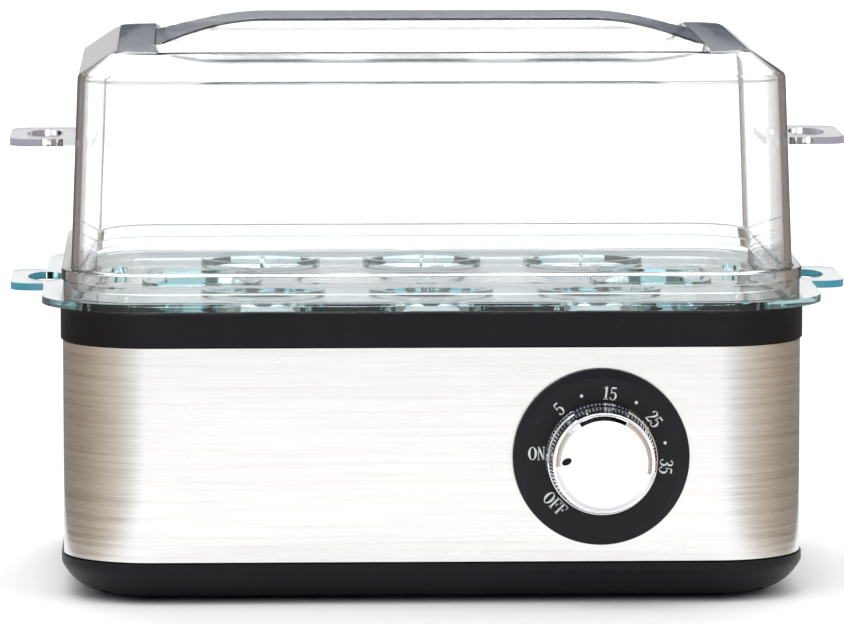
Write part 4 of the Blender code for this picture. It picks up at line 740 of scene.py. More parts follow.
def ring_wall(name, inset, wall, low, high):
    """An upright wall that follows the body's outline."""
    piece = body_sheet(name, inset, low)
    walk([(0, high - low)])
    for height in (low, high):
        pick(lambda middle, normal: abs(middle.z - height) < 1e-6 and abs(normal.z) > 0.9)
        walk([(wall, 0)])
    pick(lambda middle, normal: abs(normal.z) > 0.9 and abs(middle.x) < 0.01 and abs(middle.y - MIDDLE_Y) < 0.01)
    bpy.ops.mesh.bridge_edge_loops()
    bpy.ops.mesh.select_all(action="SELECT")
    bpy.ops.mesh.normals_make_consistent(inside=False)
    bpy.ops.object.mode_set(mode="OBJECT")
    return piece


def flat_block(name, half_x, half_y, corner, centre, low, high, steps=10):
    """A thick plate with round corners round a centre of its own."""
    lay_down()
    bpy.ops.mesh.primitive_plane_add(size=2, location=(centre[0], centre[1], low))
    piece = started(name)
    bpy.ops.mesh.select_all(action="SELECT")
    bpy.ops.transform.resize(value=(half_x, half_y, 1), center_override=(centre[0], centre[1], low))
    if corner:
        bpy.ops.mesh.bevel(offset=corner, segments=steps, affect="VERTICES", profile=0.5)
    bpy.ops.mesh.select_mode(type="FACE")
    bpy.ops.mesh.select_all(action="SELECT")
    walk([(0, high - low)])
    bpy.ops.mesh.select_all(action="SELECT")
    bpy.ops.mesh.normals_make_consistent(inside=False)
    bpy.ops.object.mode_set(mode="OBJECT")
    return piece


def ears(root, low):
    """Two flat ears; root is how far inside the body's side they start."""
    half = (EAR_TIP - root) / 2
    return [flat_block("ear", half + EAR_ROUND, EAR_HALF_DEPTH, EAR_ROUND, (side * (EAR_TIP - half - EAR_ROUND), MIDDLE_Y), low, low + EAR_THICK) for side in (-1, 1)]


def ear_holes(low):
    """Long oval holes: a rod stretched along the ear."""
    holes = []
    for x in (EAR_HOLE_FROM_TIP - EAR_TIP, EAR_TIP - EAR_HOLE_FROM_TIP):
        hole = rod("ear_hole", EAR_HOLE_RADIUS, low - 0.001, low + EAR_THICK + 0.001, 64, (x, MIDDLE_Y))
        hold(hole)
        bpy.ops.object.mode_set(mode="EDIT")
        bpy.ops.mesh.select_all(action="SELECT")
        bpy.ops.transform.resize(value=(1, EAR_HOLE_HALF / EAR_HOLE_RADIUS, 1), center_override=(x, MIDDLE_Y, low))
        bpy.ops.object.mode_set(mode="OBJECT")
        holes.append(hole)
    return holes


def make_tray():
    piece = round_sheet("seat_tray", TRAY_HALF_X, TRAY_HALF_Y, TRAY_CORNER, TRAY_UNDER, 30)
    walk([(0, TRAY_TOP - TRAY_UNDER)])
    finish_mesh(piece)
    added = ears(0.09, TRAY_UNDER)
    added.append(ring_wall("rim", TRAY_RIM_INSET, TRAY_RIM_WALL, TRAY_UNDER + 0.0005, TRAY_HIGH.z))
    added.append(ring_wall("skirt", SKIRT_INSET, SKIRT_WALL, TRAY_LOW.z, TRAY_UNDER + 0.0005))
    for x, y in SEATS:
        added.append(rod("collar", SEAT_RADIUS + SEAT_WALL, TRAY_UNDER - SEAT_DROP, TRAY_TOP + SEAT_RISE, 64, (x, MIDDLE_Y + y)))
    cut(piece, added, "UNION")
    tools = [rod("seat", SEAT_RADIUS, TRAY_LOW.z - 0.001, TRAY_TOP + 0.004, 64, (x, MIDDLE_Y + y)) for x, y in SEATS]
    tools += ear_holes(TRAY_UNDER)
    for x in (-0.086, 0.086):
        for y in (-0.019, 0.019):
            tools.append(flat_block("slot", 0.0025, 0.008, 0.00249, (x, MIDDLE_Y + y), TRAY_UNDER - 0.001, TRAY_TOP + 0.001, 10))
    for x in (-0.03, 0, 0.03):
        tools.append(rod("steam_hole", 0.003, TRAY_UNDER - 0.001, TRAY_TOP + 0.001, 32, (x, MIDDLE_Y)))
    for side in (-1, 1):
        for x in (-0.044, 0, 0.044):
            tools.append(flat_block("notch", 0.0066, 0.0011, 0, (x, MIDDLE_Y + side * TRAY_HALF_Y), TRAY_UNDER - 0.001, TRAY_TOP + 0.001))
    cut(piece, tools)
    return finish_mesh(piece, smooth=35, edge=0.00025, edge_steps=2, edge_angle=50)


seat_tray = make_tray()
seat(seat_tray, "aqua", "tray", "egg_tray")

# %% [markdown]
# ## Lid
# The lid is a clear cover of even wall. Its sides could be walked up like the base, but its top is one flowing
# surface, an arched grip that sinks into a finger scoop on each side, and no inset or extrude gives that. So the
# points of its top are worked out from a height rule, station by station, and its sides meet that grid point for
# point. The same rule, one wall lower, gives the inside.

# %% Lid section
LID_LOW, LID_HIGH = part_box("lid")
LID_UNDER = 0.0855
LID_WALL, LID_SETBACK, LID_DRAFT = 0.0020, 0.0029, 0.0020
LID_FLANGE_INSET, LID_FLANGE_TOP = 0.0003, 0.0884
LID_LIP_INSET, LID_LIP_WALL, LID_LIP_DROP = 0.0031, 0.0014, 0.0024
LID_SHOULDER, LID_EDGE, LID_FLAT = 0.1402, 0.1460, 0.1469
CHAMFER_IN, TOP_ROUND_IN = 0.0086, 0.0020
GRIP_HALF_LENGTH, GRIP_RAMP, GRIP_RISE = 0.0745, 0.0300, 0.0062
GRIP_HALF_DEPTH, GRIP_END_HALF_DEPTH = 0.0175, 0.0330
SCOOP_DEPTH, SCOOP_RAMP = 0.0080, 0.0210
LID_TOP_WALL = 0.0007
LID_EAR_TOP = 0.1205


def rounded_section(points, radii, steps=4):
    """Rounds the corners of a section: a quadratic bow replaces each corner that has a radius."""
    rounded = [points[0]]
    for before, here, after, radius in zip(points, points[1:], points[2:], radii[1:]):
        if not radius:
            rounded.append(here)
            continue
        spot = Vector(here)
        near = spot + (Vector(before) - spot).normalized() * radius
        far = spot + (Vector(after) - spot).normalized() * radius
        for i in range(steps + 1):
            t = i / steps
            rounded.append(tuple((1 - t) ** 2 * near + 2 * t * (1 - t) * spot + t * t * far))
    rounded.append(points[-1])
    return rounded


# %% Lid top
LID_CORNER_STEPS = 24


def lid_stations(radius):
    """Places along the lid: x, the core's x, and the direction from the core."""
    core = HALF_WIDTH - BODY_CORNER
    half = []
    for i in range(LID_CORNER_STEPS + 1):
        turn = math.radians(90) * i / LID_CORNER_STEPS
        half.append((core + radius * math.cos(turn), core, math.cos(turn), math.sin(turn)))
    ramp = [GRIP_HALF_LENGTH - GRIP_RAMP * (i / 28) ** 1.4 for i in range(29)]
    level = [(GRIP_HALF_LENGTH - GRIP_RAMP) * (1 - i / 14) for i in range(1, 15)]
    half += [(x, x, 0, 1) for x in ramp + level]
    return half + [(-x, -core_x, -dx, dy) for x, core_x, dx, dy in reversed(half[:-1])]


def rise_share(x, length):
    along = min(max((GRIP_HALF_LENGTH - abs(x)) / length, 0), 1)
    return math.sin(math.radians(90) * along), along


def lid_heights(x, depth):
    """Half of the top's cross section at x: (y, height over the flat) from the middle outwards."""
    rise, along = rise_share(x, GRIP_RAMP)
    scoop = math.sqrt(rise_share(x, SCOOP_RAMP)[0])
    edge = GRIP_HALF_DEPTH + (GRIP_END_HALF_DEPTH - GRIP_HALF_DEPTH) * (1 - along) ** 3
    edge = min(edge, depth * GRIP_END_HALF_DEPTH / (GRIP_END_HALF_DEPTH + GRIP_HALF_DEPTH))
    rows = [(edge * i / 6, GRIP_RISE * rise) for i in range(7)]
    for i in range(1, 29):
        across = (i / 28) ** 1.1
        left = max(0, 1 - across / 0.40) ** 1.5
        reached = math.sin(math.radians(180) * across ** 0.8) ** 1.15
        rows.append((edge + (depth - edge) * across, GRIP_RISE * rise * left - SCOOP_DEPTH * scoop * reached))
    return rows


def lid_top(radius, z):
    core = HALF_DEPTH - BODY_CORNER
    grid = []
    for x, core_x, dx, dy in lid_stations(radius):
        half = lid_heights(x, core + radius * dy)
        column = [(-y, h) for y, h in reversed(half[1:])] + half
        grid.append([Vector((x, MIDDLE_Y + y, z + h)) for y, h in column])
    return grid


def lid_loop(inset, z, rows):
    """A loop round the lid's side with as many points as the edge of its top."""
    radius = BODY_CORNER - inset
    core_y = HALF_DEPTH - BODY_CORNER
    stations = lid_stations(radius)
    side_x = stations[0][0]
    front = [Vector((x, MIDDLE_Y - core_y - radius * dy, z)) for x, _, _, dy in stations]
    back = [Vector((x, MIDDLE_Y + core_y + radius * dy, z)) for x, _, _, dy in stations]
    left = [Vector((-side_x, y, z)) for y in rows]
    right = [Vector((side_x, y, z)) for y in rows]
    return front + left + back[::-1] + right[::-1]


def add_lid_skin(work, section, top):
    rows = [point.y for point in top[0][1:-1]]
    loops = [[work.verts.new(point) for point in lid_loop(inset, z, rows)] for inset, z in section]
    grid = [[work.verts.new(point) for point in column] for column in top]
    rim = [column[0] for column in grid] + grid[-1][1:-1]
    rim += [column[-1] for column in reversed(grid)] + grid[0][-2:0:-1]
    loops.append(rim)
    for low, high in zip(loops, loops[1:]):
        for i in range(len(low)):
            j = (i + 1) % len(low)
            work.faces.new((low[i], low[j], high[j], high[i]))
    for near, far in zip(grid, grid[1:]):
        for i in range(len(near) - 1):
            work.faces.new((near[i], near[i + 1], far[i + 1], far[i]))
    return loops[0]


# %% Lid
def make_lid():
    lean = math.atan2(LID_EDGE - LID_SHOULDER, CHAMFER_IN)
    wall_top = LID_SETBACK + LID_DRAFT
    edge_inset = wall_top + CHAMFER_IN
    flat_inset = edge_inset + TOP_ROUND_IN
    outside = [(LID_FLANGE_INSET, LID_UNDER), (LID_FLANGE_INSET, LID_FLANGE_TOP), (LID_SETBACK, LID_FLANGE_TOP)]
    outside += [(wall_top, LID_SHOULDER), (edge_inset, LID_EDGE)]
    outside = rounded_section(outside, [0, 0.0004, 0.0006, 0.0010, 0])
    tuck = LID_WALL * (1 - math.cos(lean)) / math.sin(lean)
    inner_lip = LID_LIP_INSET + LID_LIP_WALL
    inside = [(LID_LIP_INSET, LID_UNDER), (LID_LIP_INSET, LID_UNDER - LID_LIP_DROP)]
    inside += [(inner_lip, LID_UNDER - LID_LIP_DROP), (inner_lip, LID_FLANGE_TOP - LID_WALL)]
    inside += [(LID_SETBACK + LID_WALL, LID_FLANGE_TOP), (wall_top + LID_WALL, LID_SHOULDER - LID_WALL * math.tan(lean / 2))]
    inside += [(edge_inset + tuck, LID_FLAT - LID_TOP_WALL)]
    inside = rounded_section(inside, [0, 0.0003, 0.0003, 0, 0, 0.0010, 0])
    work = bmesh.new()
    outer_rim = add_lid_skin(work, outside, lid_top(BODY_CORNER - flat_inset, LID_FLAT))
    inner_rim = add_lid_skin(work, inside, lid_top(BODY_CORNER - flat_inset - tuck, LID_FLAT - LID_TOP_WALL))
    for i in range(len(outer_rim)):
        j = (i + 1) % len(outer_rim)
        work.faces.new((outer_rim[i], outer_rim[j], inner_rim[j], inner_rim[i]))
    bmesh.ops.recalc_face_normals(work, faces=work.faces)
    lay_down()
    mesh = bpy.data.meshes.new("lid_cover")
    work.to_mesh(mesh)
    work.free()
    piece = bpy.data.objects.new("lid_cover", mesh)
    bpy.context.scene.collection.objects.link(piece)
    share = (LID_EAR_TOP - LID_FLANGE_TOP) / (LID_SHOULDER - LID_FLANGE_TOP)
    root = HALF_WIDTH - (LID_SETBACK + LID_DRAFT * share) - LID_WALL + 0.0005
    low = LID_EAR_TOP - EAR_THICK
    tabs = []
    for side in (-1, 1):
        ear = flat_block("ear", (EAR_TIP - root) / 2, EAR_HALF_DEPTH, 0, (side * (EAR_TIP + root) / 2, MIDDLE_Y), low, LID_EAR_TOP)
        hold(ear)
        bpy.ops.object.mode_set(mode="EDIT")
        pick(lambda middle: abs(abs(middle.x) - EAR_TIP) < 1e-5 and abs(abs(middle.y - MIDDLE_Y) - EAR_HALF_DEPTH) < 1e-5, "edges")
        bpy.ops.mesh.bevel(offset=EAR_ROUND, segments=10, affect="EDGES")
        bpy.ops.object.mode_set(mode="OBJECT")
        tabs.append(ear)
    cut(piece, tabs, "UNION")
    cut(piece, ear_holes(low))
    return finish_mesh(piece, smooth=28)


lid_cover = make_lid()
seat(lid_cover, "clear", "lid", "lid")

# %% [markdown]
# ## Dial
# The dial is a black moulded disc with a wide low bevel round its edge. A disc is a turned shape: a round face is
# extruded and scaled from one radius to the next, and then it is turned to face the front.

# %% Turned pieces
FRONT_TURN = (math.radians(90), 0, 0)


def turned(name, profile, steps, place, turn):
    """A round piece from (radius, height) pairs; it is built upright and then put in its place."""
    lay_down()
    bpy.ops.mesh.primitive_circle_add(vertices=steps, radius=profile[0][0], fill_type="NGON")
    piece = started(name)
    bpy.ops.mesh.select_mode(type="FACE")
    bpy.ops.mesh.select_all(action="SELECT")
    bpy.ops.transform.translate(value=(0, 0, profile[0][1]))
    for (radius, height), (new_radius, new_height) in zip(profile, profile[1:]):
        bpy.ops.mesh.extrude_region_move(TRANSFORM_OT_translate={"value": (0, 0, new_height - height)})
        share = new_radius / radius
        if abs(share - 1) > 1e-9:
            bpy.ops.transform.resize(value=(share, share, 1), center_override=(0, 0, new_height))
    bpy.ops.mesh.select_all(action="SELECT")
    bpy.ops.mesh.normals_make_consistent(inside=False)
    bpy.ops.object.mode_set(mode="OBJECT")
    piece.location, piece.rotation_euler = place, turn
    return piece


def set_down(piece):
    """Puts a placed piece's place and turn into its mesh."""
    hold(piece)
    bpy.ops.object.transform_apply(location=True, rotation=True, scale=True)
    return piece


DIAL_RADIUS, DIAL_THICK = 0.0236, 0.0024
DIAL_AT = (DIAL_X, DIAL_HIGH.y, DIAL_Z)


def make_dial():
    profile = [(DIAL_RADIUS - 0.0003, 0), (DIAL_RADIUS, 0.0003), (DIAL_RADIUS, 0.0013), (DIAL_RADIUS - 0.0002, 0.0016)]
    profile += [(DIAL_RADIUS - 0.0019, 0.0022), (DIAL_RADIUS - 0.0022, DIAL_THICK), (DIAL_RADIUS - 0.0026, DIAL_THICK)]
    piece = turned("dial_disc", profile, 128, DIAL_AT, FRONT_TURN)
    set_down(piece)
    y = (DIAL_LOW.y - 0.001, DIAL_HIGH.y + 0.001)
    tools = [rod("shaft_hole", 0.0033, *y, 32, (DIAL_X, DIAL_Z), "Y")]
    tools += [rod("screw_hole", 0.0016, *y, 16, (DIAL_X + side * 0.0092, DIAL_Z), "Y") for side in (-1, 1)]
    cut(piece, tools)
    return finish_mesh(piece, smooth=25)


dial_disc = make_dial()
seat(dial_disc, "dial_plastic", "housing", "dial_plate")

# %% [markdown]
# ## Dial marks
# The marks are printed in white, in a narrow face with thick stems and hairline joins. Each letter is drawn as a few
# pen strokes: points on a unit square with the pen's width at each, joined by a smooth curve and filled as a ribbon.

# %% Pen strokes
STEM, HAIR = 0.15, 0.055
PEN = {
    "1": [[(0.27, 0.0, STEM), (0.27, 1.0, STEM)], [(0.27, 0.97, HAIR), (0.08, 0.84, HAIR)], [(0.08, 0.02, HAIR), (0.46, 0.02, HAIR)]],
    "2": [[(0.09, 0.72, 0.13), (0.09, 0.86, 0.07), (0.26, 0.975, HAIR), (0.42, 0.86, 0.14), (0.41, 0.66, 0.15), (0.24, 0.36, 0.08), (0.06, 0.07, HAIR)],
          [(0.05, 0.06, 0.12), (0.46, 0.06, 0.12)], [(0.47, 0.04, HAIR), (0.49, 0.26, HAIR)]],
    "3": [[(0.08, 0.80, 0.13), (0.14, 0.94, HAIR), (0.26, 0.975, HAIR), (0.41, 0.85, 0.13), (0.39, 0.64, 0.12), (0.20, 0.53, HAIR)],
          [(0.20, 0.53, HAIR), (0.40, 0.45, 0.12), (0.46, 0.26, 0.16), (0.36, 0.06, 0.09), (0.22, 0.02, HAIR), (0.09, 0.08, 0.07), (0.06, 0.21, 0.13)]],
    "5": [[(0.12, 0.94, 0.12), (0.45, 0.94, 0.12)], [(0.11, 0.96, HAIR), (0.08, 0.50, HAIR)],
          [(0.08, 0.50, HAIR), (0.22, 0.60, HAIR), (0.38, 0.54, 0.11), (0.46, 0.32, 0.16), (0.37, 0.08, 0.09), (0.22, 0.02, HAIR), (0.09, 0.08, 0.07), (0.06, 0.21, 0.13)]],
    "O": [[(0.34 + 0.25 * math.sin(a), 0.5 + 0.475 * math.cos(a), HAIR + 0.13 * math.sin(a) ** 2) for a in [math.radians(15 * i) for i in range(25)]]],
    "N": [[(0.08, 0.0, HAIR), (0.08, 1.0, HAIR)], [(0.10, 0.96, 0.15), (0.46, 0.04, 0.15)], [(0.48, 0.0, HAIR), (0.48, 1.0, HAIR)],
          [(0.0, 0.02, HAIR), (0.17, 0.02, HAIR)], [(0.0, 0.98, HAIR), (0.13, 0.98, HAIR)], [(0.39, 0.98, HAIR), (0.57, 0.98, HAIR)]],
    "F": [[(0.16, 0.0, STEM), (0.16, 1.0, STEM)], [(0.03, 0.975, HAIR), (0.56, 0.975, HAIR)], [(0.55, 0.98, HAIR), (0.55, 0.72, HAIR)],
          [(0.16, 0.52, HAIR), (0.42, 0.52, HAIR)], [(0.42, 0.63, HAIR), (0.42, 0.41, HAIR)], [(0.03, 0.025, HAIR), (0.31, 0.025, HAIR)]],
}
PEN_ADVANCE = {"1": 0.55, "2": 0.58, "3": 0.58, "5": 0.58, "O": 0.72, "N": 0.64, "F": 0.62}


def smooth_line(points, steps=6):
    """Points on a smooth curve through the given ones (Catmull-Rom); straight for two points."""
    if len(points) == 2:
        return points
    ends = [points[0]] + points + [points[-1]]
    line = []
    for before, a, b, after in zip(ends, ends[1:], ends[2:], ends[3:]):
        for i in range(steps):
            t = i / steps
            line.append(tuple(0.5 * (2 * p1 + (p2 - p0) * t + (2 * p0 - 5 * p1 + 4 * p2 - p3) * t * t + (3 * p1 - p0 - 3 * p2 + p3) * t ** 3) for p0, p1, p2, p3 in zip(before, a, b, after)))
    return line + [points[-1]]


def draw_stroke(work, points, place):
    line = smooth_line(points)
    rims = []
    for i, (x, y, width) in enumerate(line):
        near, far = line[max(i - 1, 0)], line[min(i + 1, len(line) - 1)]
        across = Vector((near[1] - far[1], far[0] - near[0]))
        across = across.normalized() * width / 2 if across.length else Vector((0, width / 2))
        rims.append([work.verts.new(place(x + side * across.x, y + side * across.y)) for side in (-1, 1)])
    for a, b in zip(rims, rims[1:]):
        work.faces.new((a[0], b[0], b[1], a[1]))


# %% Dial marks
MARK_PRINT = 0.00004
MARK_RADIUS = 0.0174
LETTER_HIGH, DIGIT_HIGH = 0.0035, 0.0035
DIAL_MARKS = [("OFF", -134.5, 45), ("ON", -86, 0), ("5", -41, -41), ("15", 7, 7), ("25", 53.5, 54), ("35", 98, 98)]
DIAL_DOTS = (-18, 32, 77)


def make_dial_marks():
    work = bmesh.new()
    for word, at, turn in DIAL_MARKS:
        high = LETTER_HIGH if word.startswith("O") else DIGIT_HIGH
        wide = sum(PEN_ADVANCE[letter] for letter in word) - 0.08
        at, turn = math.radians(at), math.radians(turn)
        middle_x, middle_z = DIAL_X + MARK_RADIUS * math.sin(at), DIAL_Z + MARK_RADIUS * math.cos(at)
        start = -wide / 2
        for letter in word:
            def place(x, y, start=start):
                x, y = (x + start) * high, (y - 0.5) * high
                return (middle_x + x * math.cos(turn) + y * math.sin(turn), DIAL_LOW.y - 0.00001, middle_z - x * math.sin(turn) + y * math.cos(turn))
            for stroke in PEN[letter]:
                draw_stroke(work, stroke, place)
            start += PEN_ADVANCE[letter]
    for at in DIAL_DOTS:
        at = math.radians(at)
        middle = (DIAL_X + MARK_RADIUS * math.sin(at), DIAL_LOW.y - 0.00001, DIAL_Z + MARK_RADIUS * math.cos(at))
        ring = [work.verts.new((middle[0] + 0.00045 * math.cos(a), middle[1], middle[2] + 0.00045 * math.sin(a))) for a in [math.radians(22.5 * i) for i in range(16)]]
        work.faces.new(ring)
    bmesh.ops.recalc_face_normals(work, faces=work.faces)
    mesh = bpy.data.meshes.new("dial_marks")
    work.to_mesh(mesh)
    work.free()
    piece = bpy.data.objects.new("dial_marks", mesh)
    bpy.context.scene.collection.objects.link(piece)
    hold(piece)
    bpy.ops.object.mode_set(mode="EDIT")
    bpy.ops.mesh.select_all(action="SELECT")
    bpy.ops.mesh.extrude_region_move(TRANSFORM_OT_translate={"value": (0, -MARK_PRINT, 0)})
    return finish_mesh(piece)


dial_marks = make_dial_marks()
seat(dial_marks, "pale_plastic", "housing")
dial_marks.data.materials[0] = moulded("white_print", (0.80, 0.80, 0.82), (0.55, 0.55, 0.57), 0.5, 0.2, 0.2, 0.002, 0.5)

# %% [markdown]
# ## Knob
# The knob is a chromed moulding in two tiers over a smooth foot. Fine ribs run round both tiers, and a small
# dent near the edge of its mirror face is the pointer. Ribs could be ninety copies of one tooth, but it is simpler
# to turn the knob with two columns of faces to a rib and push every second column in.

# %% Knob
KNOB_LOW, KNOB_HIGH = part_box("timer_knob")
KNOB_RIBS = 90
KNOB_AT = (DIAL_X, KNOB_HIGH.y, DIAL_Z)
KNOB_TIERS = [(0.0148, 0), (0.0150, 0.0002), (0.0150, 0.0012), (0.0148, 0.0014), (0.0148, 0.0016), (0.0150, 0.0017)]
KNOB_TIERS += [(0.0147, 0.0046), (0.0144, 0.0048), (0.0144, 0.0052), (0.0143, 0.0054)]
KNOB_TIERS += [(0.0136, 0.0104), (0.0134, 0.0106), (0.0134, 0.0110), (0.0136, 0.0112), (0.0136, 0.0115)]
KNOB_TIERS += [(0.0135, 0.0117), (0.0134, 0.0117), (0.0133, 0.0113), (0.0131, 0.0113), (0.0127, 0.0119), (0.0122, 0.0124), (0.0116, 0.0128)]
POINTER_ANGLE = math.radians(-86)


def make_knob():
    piece = turned("knob_cap", KNOB_TIERS, 2 * KNOB_RIBS, (0, 0, 0), (0, 0, 0))
    hold(piece)
    bpy.ops.object.mode_set(mode="EDIT")
    bands = ((0.0017, 0.0046), (0.0054, 0.0104))

    def every_second(middle, normal):
        if abs(normal.z) > 0.3:
            return False
        column = int(math.degrees(math.atan2(middle.y, middle.x)) % 360 / (180 / KNOB_RIBS))
        return column % 2 == 0 and any(low < middle.z < high for low, high in bands)

    pushed = pick(every_second)
    bpy.ops.mesh.extrude_region_shrink_fatten(TRANSFORM_OT_shrink_fatten={"value": -0.0004})
    pick(lambda middle, normal: abs(middle.z) < 1e-6 and abs(normal.z) > 0.9)
    bpy.ops.mesh.inset(thickness=0.0026, depth=0)
    bpy.ops.mesh.inset(thickness=0.0071, depth=0)
    bpy.ops.mesh.inset(thickness=0.0019, depth=0)
    bpy.ops.mesh.extrude_region_move(TRANSFORM_OT_translate={"value": (0, 0, 0.0098)})
    pick(lambda middle, normal: abs(middle.z) < 1e-6 and 0.0053 < math.hypot(middle.x, middle.y) < 0.0122)
    bpy.ops.mesh.extrude_region_move(TRANSFORM_OT_translate={"value": (0, 0, 0.0104)})
    print("rib grooves pushed in:", pushed)
    bpy.ops.object.mode_set(mode="OBJECT")
    dent = turned("dent", [(0.0006, 0.0110), (0.0008, 0.0113), (0.0009, 0.0128), (0.0009, 0.0136)], 32, (0, 0, 0), (0, 0, 0))
    dent.scale = (1.55, 1, 1)
    dent.location = (0.0100 * math.sin(POINTER_ANGLE), 0.0100 * math.cos(POINTER_ANGLE), 0)
    dent.rotation_euler = (0, 0, math.radians(28))
    set_down(dent)
    cut(piece, [dent])
    piece.location, piece.rotation_euler = KNOB_AT, FRONT_TURN
    set_down(piece)
    return finish_mesh(piece, smooth=24)


# A black piece fills the pointer dent, so the dent reads dark.
def make_pointer_dark_fill():
    piece = turned("pointer_dark_fill", [(0.00078, 0.0111), (0.00082, 0.0124), (0.00078, 0.0125)], 32, (0, 0, 0), (0, 0, 0))
    piece.scale = (1.55, 1, 1)
    piece.location = (0.0100 * math.sin(POINTER_ANGLE), 0.0100 * math.cos(POINTER_ANGLE), 0)
    piece.rotation_euler = (0, 0, math.radians(28))
    set_down(piece)
    piece.location, piece.rotation_euler = KNOB_AT, FRONT_TURN
    return finish_mesh(set_down(piece))


knob_cap = make_knob()
seat(knob_cap, "chrome", "knob", "timer_knob")
pointer_dark_fill = make_pointer_dark_fill()
seat(pointer_dark_fill, "black_plastic", "knob")

# %% [markdown]
# ## Cord bush and feet
# A rubber bush grips the hole in the back of the band, and four rubber feet sit in the base's recesses. Both are
# turned shapes; their soft edges come from extra steps in the profile.

# %% Cord bush and feet
FOOT_RADIUS = 0.0065


def make_bush():
    out = GLAND_HIGH.y - BAND_HIGH.y
    deep = GLAND_LOW.y - BAND_HIGH.y
    sheet = -BAND_SHEET - GAP
    profile = [(0.0076, deep), (0.0080, deep + 0.0004), (0.0080, sheet), (0.0055, sheet), (0.0055, GAP)]
    profile += [(0.0080, GAP), (0.0080, out - 0.0010), (0.0077, out - 0.0003), (0.0070, out), (0.0048, out)]
    piece = turned("cord_bush", profile, 64, (GLAND_X, BAND_HIGH.y, GLAND_Z), (math.radians(-90), 0, 0))
    set_down(piece)
    core = rod("bore", 0.0036, GLAND_LOW.y - 0.001, GLAND_HIGH.y + 0.001, 48, (GLAND_X, GLAND_Z), "Y")
    cut(piece, [core])
    return finish_mesh(piece, edge=0.0003, edge_steps=2, edge_angle=50)


cord_bush = make_bush()
seat(cord_bush, "rubber", "housing", "cord_gland")

for end, across in (("front", -1), ("back", 1)):
    for side, along in (("left", -1), ("right", 1)):
        node = f"foot_{end}_{side}"
        low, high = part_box(node)
        sole = [(0.0040, 0.0002), (0.0044, 0), (FOOT_RADIUS - 0.0006, 0), (FOOT_RADIUS - 0.0002, 0.0002), (FOOT_RADIUS, 0.0006)]
        foot = turned(f"rubber_foot_{end}_{side}", sole + [(FOOT_RADIUS, high.z), (0.002, high.z)], 48, ((low.x + high.x) / 2, (low.y + high.y) / 2, 0), (0, 0, 0))
        set_down(foot)
        finish_mesh(foot)
        seat(foot, "rubber", "housing", node)

# %% [markdown]
# ## Look so far
# The next cells add the floor and the light, so that every later piece can be judged in a picture.

# %% Floor and light


def add_card(name, side):
    """A warm card beside the set. It only shows in reflections, darker towards the back."""
    card = block(name, (side * 0.160 - 0.001, -0.34, 0.0), (side * 0.160 + 0.001, 0.40, 0.20))
    paint, tree, shader = new_finish(name)
    place = add_node(tree, "TexCoord")
    split = add_node(tree, "SeparateXYZ")
    share = add_node(tree, "MapRange", {"From Min": -0.34, "From Max": 0.06})
    ramp = add_node(tree, "ValToRGB")
    tree.links.new(place.outputs["Object"], split.inputs["Vector"])
    tree.links.new(split.outputs["Y"], share.inputs["Value"])
    tree.links.new(share.outputs["Result"], ramp.inputs["Fac"])
    tree.links.new(ramp.outputs["Color"], shader.inputs["Emission Color"])
    bands = ramp.color_ramp
    bands.elements[0].position, bands.elements[0].color = 0.0, (1.0, 1.0, 1.0, 1)
    bands.elements[1].position, bands.elements[1].color = 1.0, (0.25, 0.22, 0.20, 1)
    for spot, colour in ((0.30, (0.80, 0.79, 0.78)), (0.48, (0.66, 0.60, 0.54)), (0.64, (0.47, 0.40, 0.32)), (0.73, (0.33, 0.27, 0.21)), (0.82, (0.27, 0.23, 0.20))):
        bands.elements.new(spot).color = (*colour, 1)
    shader.inputs["Base Color"].default_value = (0, 0, 0, 1)
    shader.inputs["Specular IOR Level"].default_value = 0
    shader.inputs["Emission Strength"].default_value = 1.0
    card.data.materials.append(paint)
    card.visible_camera = card.visible_shadow = card.visible_diffuse = False
    return card


def add_dark_card(name, low, high, glow=(0, 0, 0)):
    """A dark card that only shows in reflections: over the set for round parts, far behind it for level ones."""
    card = block(name, low, high)
    paint, tree, shader = new_finish(name)
    shader.inputs["Base Color"].default_value = (0, 0, 0, 1)
    shader.inputs["Specular IOR Level"].default_value = 0
    shader.inputs["Emission Color"].default_value = (*glow, 1)
    shader.inputs["Emission Strength"].default_value = 1.0
    card.data.materials.append(paint)
    card.visible_camera = card.visible_shadow = card.visible_diffuse = card.visible_transmission = False
    return card


def add_floor():
    lay_down()
    bpy.ops.mesh.primitive_plane_add(size=24, location=(0, 6, 0))
    floor = bpy.context.object
    floor.name = "studio_floor"
    paint = bpy.data.materials.new("studio_floor")
    paint.use_nodes = True
    shader = paint.node_tree.nodes["Principled BSDF"]
    shader.inputs["Base Color"].default_value = (0.82, 0.82, 0.82, 1)
    shader.inputs["Roughness"].default_value = 0.9
    shader.inputs["Specular IOR Level"].default_value = 0.0
    floor.data.materials.append(paint)


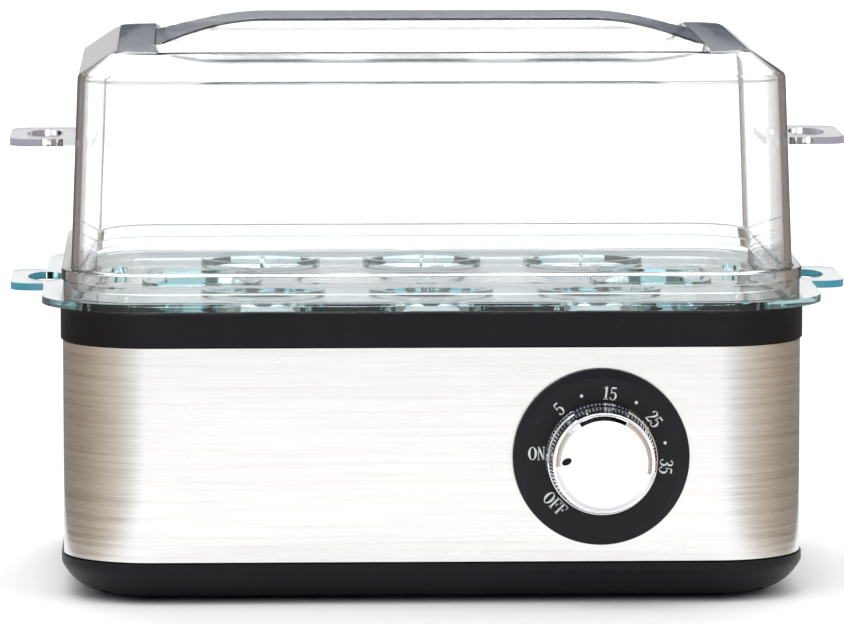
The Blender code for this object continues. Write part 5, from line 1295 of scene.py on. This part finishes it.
def add_area(name, place, size, power, aim=(0, 0, 0.07), colour=(1, 1, 1)):
    light = bpy.data.lights.new(name, "AREA")
    light.shape = "RECTANGLE"
    light.size, light.size_y = size
    light.energy = power
    light.color = colour
    lamp = bpy.data.objects.new(name, light)
    bpy.context.scene.collection.objects.link(lamp)
    lamp.location = place
    lamp.rotation_euler = (Vector(aim) - Vector(place)).to_track_quat("-Z", "Y").to_euler()
    return lamp


def add_sky():
    world = bpy.data.worlds.new("studio_sky")
    bpy.context.scene.world = world
    world.use_nodes = True
    tree = world.node_tree
    tree.nodes.clear()
    spot = tree.nodes.new("ShaderNodeTexCoord")
    split = tree.nodes.new("ShaderNodeSeparateXYZ")
    ramp = tree.nodes.new("ShaderNodeValToRGB")
    light = tree.nodes.new("ShaderNodeBackground")
    out = tree.nodes.new("ShaderNodeOutputWorld")
    tree.links.new(spot.outputs["Generated"], split.inputs["Vector"])
    tree.links.new(sums(tree, "MAXIMUM", split.outputs["Z"], split.outputs["Y"]), ramp.inputs["Fac"])
    tree.links.new(ramp.outputs["Color"], light.inputs["Color"])
    tree.links.new(light.outputs["Background"], out.inputs["Surface"])
    bands = ramp.color_ramp
    bands.elements[0].position = 0.0
    bands.elements[0].color = (0.10, 0.11, 0.17, 1)
    bands.elements[1].position = 0.45
    bands.elements[1].color = (1, 1, 1, 1)
    middle = bands.elements.new(0.20)
    middle.color = (0.34, 0.36, 0.44, 1)
    light.inputs["Strength"].default_value = 0.80


add_floor()
add_sky()
add_card("left_card", -1)
add_card("right_card", 1)
add_dark_card("top_card", (-0.10, -0.45, 0.26), (0.20, -0.07, 0.262))
add_dark_card("far_card", (-0.50, 8.0, 0.0), (1.3, 8.01, 0.74), (0.04, 0.052, 0.095))
add_dark_card("far_grey_card", (-0.60, 8.0, 0.745), (1.4, 8.01, 0.87), (0.55, 0.54, 0.58))
add_area("key_panel", (-0.4, -0.6, 1.6), (1.4, 1.2), 13)
add_area("back_panel", (0.0, 2.2, 2.0), (3.0, 1.6), 60, (0, 1.6, 0))
add_area("fill_panel", (1.0, -0.2, 1.2), (1.2, 1.2), 5)
print("floor and lights placed")
